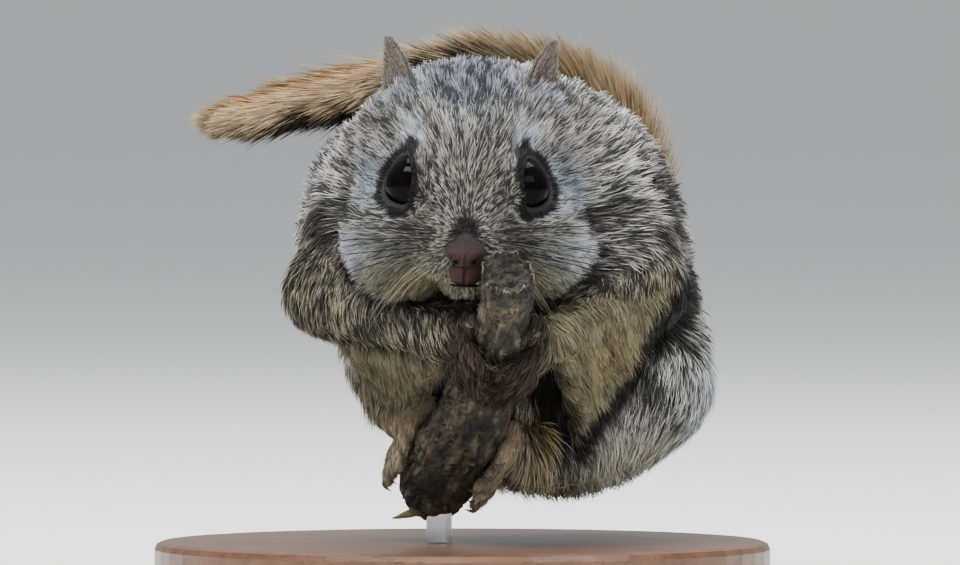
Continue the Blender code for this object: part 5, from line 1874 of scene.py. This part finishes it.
@dataclass
class Claws:
    """Curved claws at the end of every digit."""

    body: Body

    def build(self) -> list[Piece]:
        """One piece of claws for each paw."""
        horn = HornFinish().material()
        made = []
        for kind, paws in (("hand", self.body.hands), ("foot", self.body.feet)):
            for name, digits in paws.items():
                claws = joined([tapered(digit.claw, (0.36, 0.27, 0.05), 10, 12) for digit in digits])
                slot = "paw_skin" if kind == "hand" else "foot_fur"
                made.append(dress(put_mesh(f"claws_{kind}_{name}", *claws), horn, slot))
        return made


# The perch and the stand

@dataclass
class Perch:
    """The stub's bark and broken wood, with its knot and a torn splinter at the foot."""

    stub: Stub
    rings: int = 330
    sides: int = 190
    hollow: int = 46
    knot: tuple = (-4.6, -14.0, 22.6)
    splinter: tuple = ((-2.6, -6.6, 14.0), (-6.8, -7.6, 12.2), (-11.0, -8.8, 10.9))

    def relief(self, shell: Array, shares: Array, turn: Array) -> tuple[Array, Array, Array]:
        """Height of the bark in mm, and how dark or pale each place is.

        Noise stretched along the stem makes fibres, noise near zero makes cracks, steps make
        torn plates with dark lips, and rings about the knot stand up round it. The darkness is
        painted shade in the cracks, scars, plate lips and round the knot's pit, with the scars
        also darker wood, and the paleness is a painted highlight on the raised plates and fibres.

        Args:
            shell: Places on the smooth stem.
            shares: Share of the stem's length of each ring.
            turn: Turn of each side.

        Returns:
            Height, darkness and paleness, one for each place.
        """
        flat = shell.reshape(-1, 3)
        radius = np.repeat(self.stub.radius(shares), len(turn))
        around = np.tile(turn, len(shares))
        run = np.repeat(shares, len(turn)) * 54.0
        grain = np.column_stack((run * 0.22, np.cos(around) * radius, np.sin(around) * radius))
        fibres = 0.6 * waves(grain, 0.5, 61) + waves(grain, 1.0, 62)
        swell = 0.30 * waves(flat, 6.0, 60) + 0.14 * waves(flat, 2.2, 63)
        flake = waves(flat * (1, 1, 0.7), 1.6, 66) + 0.55 * waves(flat, 0.55, 67)
        plates = smooth(flake, -0.08, 0.12)
        lip = np.exp(-((flake / 0.16) ** 2))
        scars = smooth(waves(grain, 0.9, 64) + 0.5 * waves(flat, 0.5, 68), 0.75, 1.05)
        crack = np.clip(1 - np.abs(waves(grain, 2.2, 65)) * 7.0, 0, 1)
        from_knot = np.linalg.norm(flat - self.knot, axis=1)
        knot = np.exp(-((from_knot - 2.6) / 0.8) ** 2) * 0.55 - 0.6 * np.exp(-((from_knot / 1.3) ** 2))
        knot = knot + 0.10 * np.sin(from_knot * 6.0) * np.exp(-((from_knot / 3.6) ** 2))
        height = swell + 0.09 * fibres + 0.34 * plates - 0.34 * scars - 0.40 * crack + knot
        # Painted shade where the bark sinks: cracks, scars, plate lips and round the knot's pit; scars are
        # also darker wood
        dark = 0.7 * lip + scars + crack + 0.9 * np.exp(-((from_knot - 1.5) / 0.5) ** 2)
        # Painted highlight on the raised plates and fibres
        pale = smooth(fibres, 0.1, 1.2) * (0.35 + 0.65 * plates)
        return height, np.clip(dark, 0, 1), pale

    def colours(self, vertices: Array, scars_and_relief_shading: Sequence[Array], edge: Array, wood: Array) -> Array:
        """Linear colours of the bark and of the broken end's wood.

        Args:
            vertices: All of the stem's vertices: its foot, its bark and its hollow.
            scars_and_relief_shading: Darkness of the bark (painted shade in its hollows, and darker scars)
                and its painted highlight.
            edge: How much of the torn rim's pale wood each place of the bark shows.
            wood: How pale each place of the hollow is.

        Returns:
            One row for each vertex.
        """
        dark, light = scars_and_relief_shading
        blotch = (0.5 + 0.5 * np.clip(waves(vertices, 4.0, 69), -1, 1))[:, None]
        colours = linear("1b150c") * (1 - blotch) + linear("3f3625") * blotch
        mottle = 1 + 0.45 * waves(vertices, 0.45, 75) + 0.3 * waves(vertices, 0.9, 76)
        colours = colours * np.clip(mottle, 0.3, 2)[:, None]
        bark = slice(self.sides, self.sides + len(dark))
        # Painted highlight on the raised plates and fibres
        colours[bark] += (linear("7d745a") - colours[bark]) * (0.32 * light[:, None])
        # Painted shade in the cracks, plate lips and round the knot, with the scars' darker wood
        colours[bark] *= 1 - 0.88 * dark[:, None]
        colours[bark] += (linear("8f8874") - colours[bark]) * 0.7 * edge
        inside = slice(len(vertices) - len(wood), None)
        speck = np.clip(0.8 + 0.5 * waves(vertices[inside], 0.5, 74), 0.15, 1.6)[:, None]
        colours[inside] = (linear("0f0b07") * (1 - wood) + linear("342c1c") * wood) * speck
        return colours

    def build(self) -> Piece:
        """A stem of rings with bark, closed by a hollow, ringed, ragged end."""
        shares = np.linspace(0, 1, self.rings)
        centres = smooth_curve(self.stub.line, shares)
        ahead = curve_directions(self.stub.line, shares)
        first = unit(np.cross(ahead, (0.0, 0.0, 1.0)))
        turn = whole_turn(self.sides)
        spokes = spokes_at(turn, first, np.cross(first, ahead))
        radius = (self.stub.radius(shares) * (0.72 + 0.28 * smooth(shares, -0.02, 0.07)))[:, None]
        oval = 1 + 0.03 * np.sin(2 * turn[None, :] + 5 * shares[:, None])
        oval = oval + 0.02 * np.sin(3 * turn - 23 * shares[:, None])
        shell = centres[:, None, :] + spokes * (radius * oval)[..., None]
        height, *scars_and_relief_shading = self.relief(shell, shares, turn)
        shell = shell + spokes * (height.reshape(self.rings, self.sides) * 0.75)[..., None]
        rim = np.exp(-((np.arange(self.rings) - self.rings + 1) / 7.0) ** 2)
        rag = waves(shell[-1], 1.1, 71) + 0.6 * waves(shell[-1], 0.4, 72)
        shell = shell + (rim[:, None] * rag[None, :])[..., None] * ahead[-1] * 0.55
        inner = np.linspace(0.97, 0.01, self.hollow)[:, None, None]
        torn = smooth(inner, 0.82, 0.97)
        drop = 1.5 * (1 - inner**3) - 0.05 * np.sin(inner * 44.0)
        spread = (shell[-1] - centres[-1]) * torn + spokes[-1] * radius[-1] * 0.97 * (1 - torn)
        bowl = centres[-1] + spread * inner - ahead[-1] * drop
        pitted = waves(bowl.reshape(-1, 3), 0.9, 73).reshape(self.hollow, self.sides, 1)
        bowl = bowl + ahead[-1] * 0.32 * pitted
        foot = centres[0] + (shell[0] - centres[0]) * 0.01
        vertices = np.concatenate((foot[None], shell, bowl)).reshape(-1, 3)
        faces = grid_faces(self.rings + self.hollow + 1, self.sides, around=True)[:, ::-1]
        edge = (smooth(rim, 0.86, 1.0)[:, None] * smooth(rag, -0.3, 0.5)[None, :]).reshape(-1, 1)
        wood = 0.45 + 0.35 * np.sin(inner.ravel()[:, None] * 36.0 + 3.2 * rag[None, :])
        colours = self.colours(vertices, scars_and_relief_shading, edge, wood.reshape(-1, 1))
        thorn, thorn_faces = tapered(self.splinter, (1.5, 0.9, 0.12), 20, 40)
        thorn = thorn + 0.12 * waves(thorn, 1.2, 70)[:, None]
        obj = put_mesh("perch_bark", *joined([(vertices, faces), (thorn, thorn_faces)]))
        colours = np.vstack((colours, np.tile(linear("6a5c42"), (len(thorn), 1))))
        set_colours(obj, "bark", np.clip(colours, 0, 1))
        return dress(obj, BarkFinish().material(), "bark", "perch_stub")


@dataclass
class Stand:
    """The oval base and its rod, whose solids keep their shape."""

    def build(self) -> None:
        """Oiled walnut on the base and satin steel on the rod."""
        for node, finish in (("stand_base", WalnutFinish()), ("stand_rod", SteelFinish())):
            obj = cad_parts[node]
            obj.data.materials.clear()
            obj.data.materials.append(finish.material())
            log.info("%s: %s", node, finish.name)


# The studio

@dataclass
class Studio:
    """Pale floor and backdrop, soft lights, and the camera."""

    aim: tuple = (2.75, -10.0, 47.6)
    distance: float = 1950.0
    elevation: float = 1.5
    frame_width: float = 148.8

    def build(self) -> None:
        """Everything that isn't the object."""
        self.backdrop()
        self.camera()
        self.light("key", (-260, -400, 860), (700, 300), 17.0)
        self.light("fill", (640, -640, 620), (600, 400), 4.0)
        self.light("top", (80, 240, 800), (700, 500), 10.0)
        world = bpy.data.worlds.new("studio")
        world.use_nodes = True
        sky = world.node_tree.nodes["Background"]
        connect(world.node_tree, sky, Color=rgba("dfe3e8"), Strength=0.75)
        bpy.context.scene.world = world

    def backdrop(self) -> None:
        """A round bowl of matt paper: flat floor out to its bend, then an arc, then a slope.

        Along its run the radius is 5200, then 5200 + 1500 sin a while the height is
        1500 (1 - cos a), up to a = 60 degrees, and then both grow in a straight line.
        """
        run = np.linspace(0, 1, 80)
        turn = np.clip((run - 0.4) / 0.25, 0, 1) * math.pi / 3
        slope = np.clip(run - 0.65, 0, 1) * 7400
        radius = np.interp(run, (0, 0.4), (1, 5200)) + 1500 * np.sin(turn) + slope * 0.5
        height = 1500 * (1 - np.cos(turn)) + slope * 0.87
        around = whole_turn(96)
        grid = np.stack(np.broadcast_arrays(
            radius[:, None] * np.cos(around), radius[:, None] * np.sin(around), height[:, None]), axis=-1)
        obj = put_mesh("backdrop", grid.reshape(-1, 3), grid_faces(80, 96, around=True)[:, ::-1])
        material, tree, shader = new_material("matt_paper")
        connect(tree, shader, Base_Color=rgba("ebebe8"), Roughness=0.9)
        obj.data.materials.append(material)

    def camera(self) -> None:
        """A long lens level with the animal's face, framed as the photo is."""
        data = bpy.data.cameras.new("camera")
        data.sensor_width = 36.0
        data.lens = data.sensor_width * self.distance / self.frame_width
        data.clip_start, data.clip_end = 0.05, 20.0
        obj = bpy.data.objects.new("camera", data)
        bpy.context.scene.collection.objects.link(obj)
        turn = math.radians(self.elevation)
        back = np.array((0.0, -math.cos(turn), math.sin(turn))) * self.distance
        obj.location = (np.array(self.aim) + back) * MM
        obj.rotation_euler = (math.pi / 2 - turn, 0.0, 0.0)
        bpy.context.scene.camera = obj

    def light(self, name: str, place: tuple, size: tuple, power: float) -> None:
        """A soft light panel, its width and depth in mm, aimed at the animal."""
        data = bpy.data.lights.new(name, "AREA")
        data.shape = "RECTANGLE"
        data.size, data.size_y, data.energy = size[0] * MM, size[1] * MM, power
        obj = bpy.data.objects.new(name, data)
        bpy.context.scene.collection.objects.link(obj)
        obj.location = np.array(place) * MM
        away = unit(np.array(place) - np.array(self.aim))
        pitch = math.acos(away[2])
        obj.rotation_euler = (pitch, 0.0, math.atan2(away[1], away[0]) + math.pi / 2)


def main() -> None:
    """Builds every piece in order."""
    logging.basicConfig(level=logging.INFO, format="%(message)s")
    body = Body()
    marks = Markings(body)
    skin = Skin(body, marks)
    skin.build()
    Coat(body, marks, skin).grow()
    TailCoat(body).grow()
    Face(body.head).build()
    Ears(body.head).build()
    Claws(body).build()
    Perch(body.stub).build()
    Stand().build()
    Studio().build()


if __name__ == "__main__":
    main()
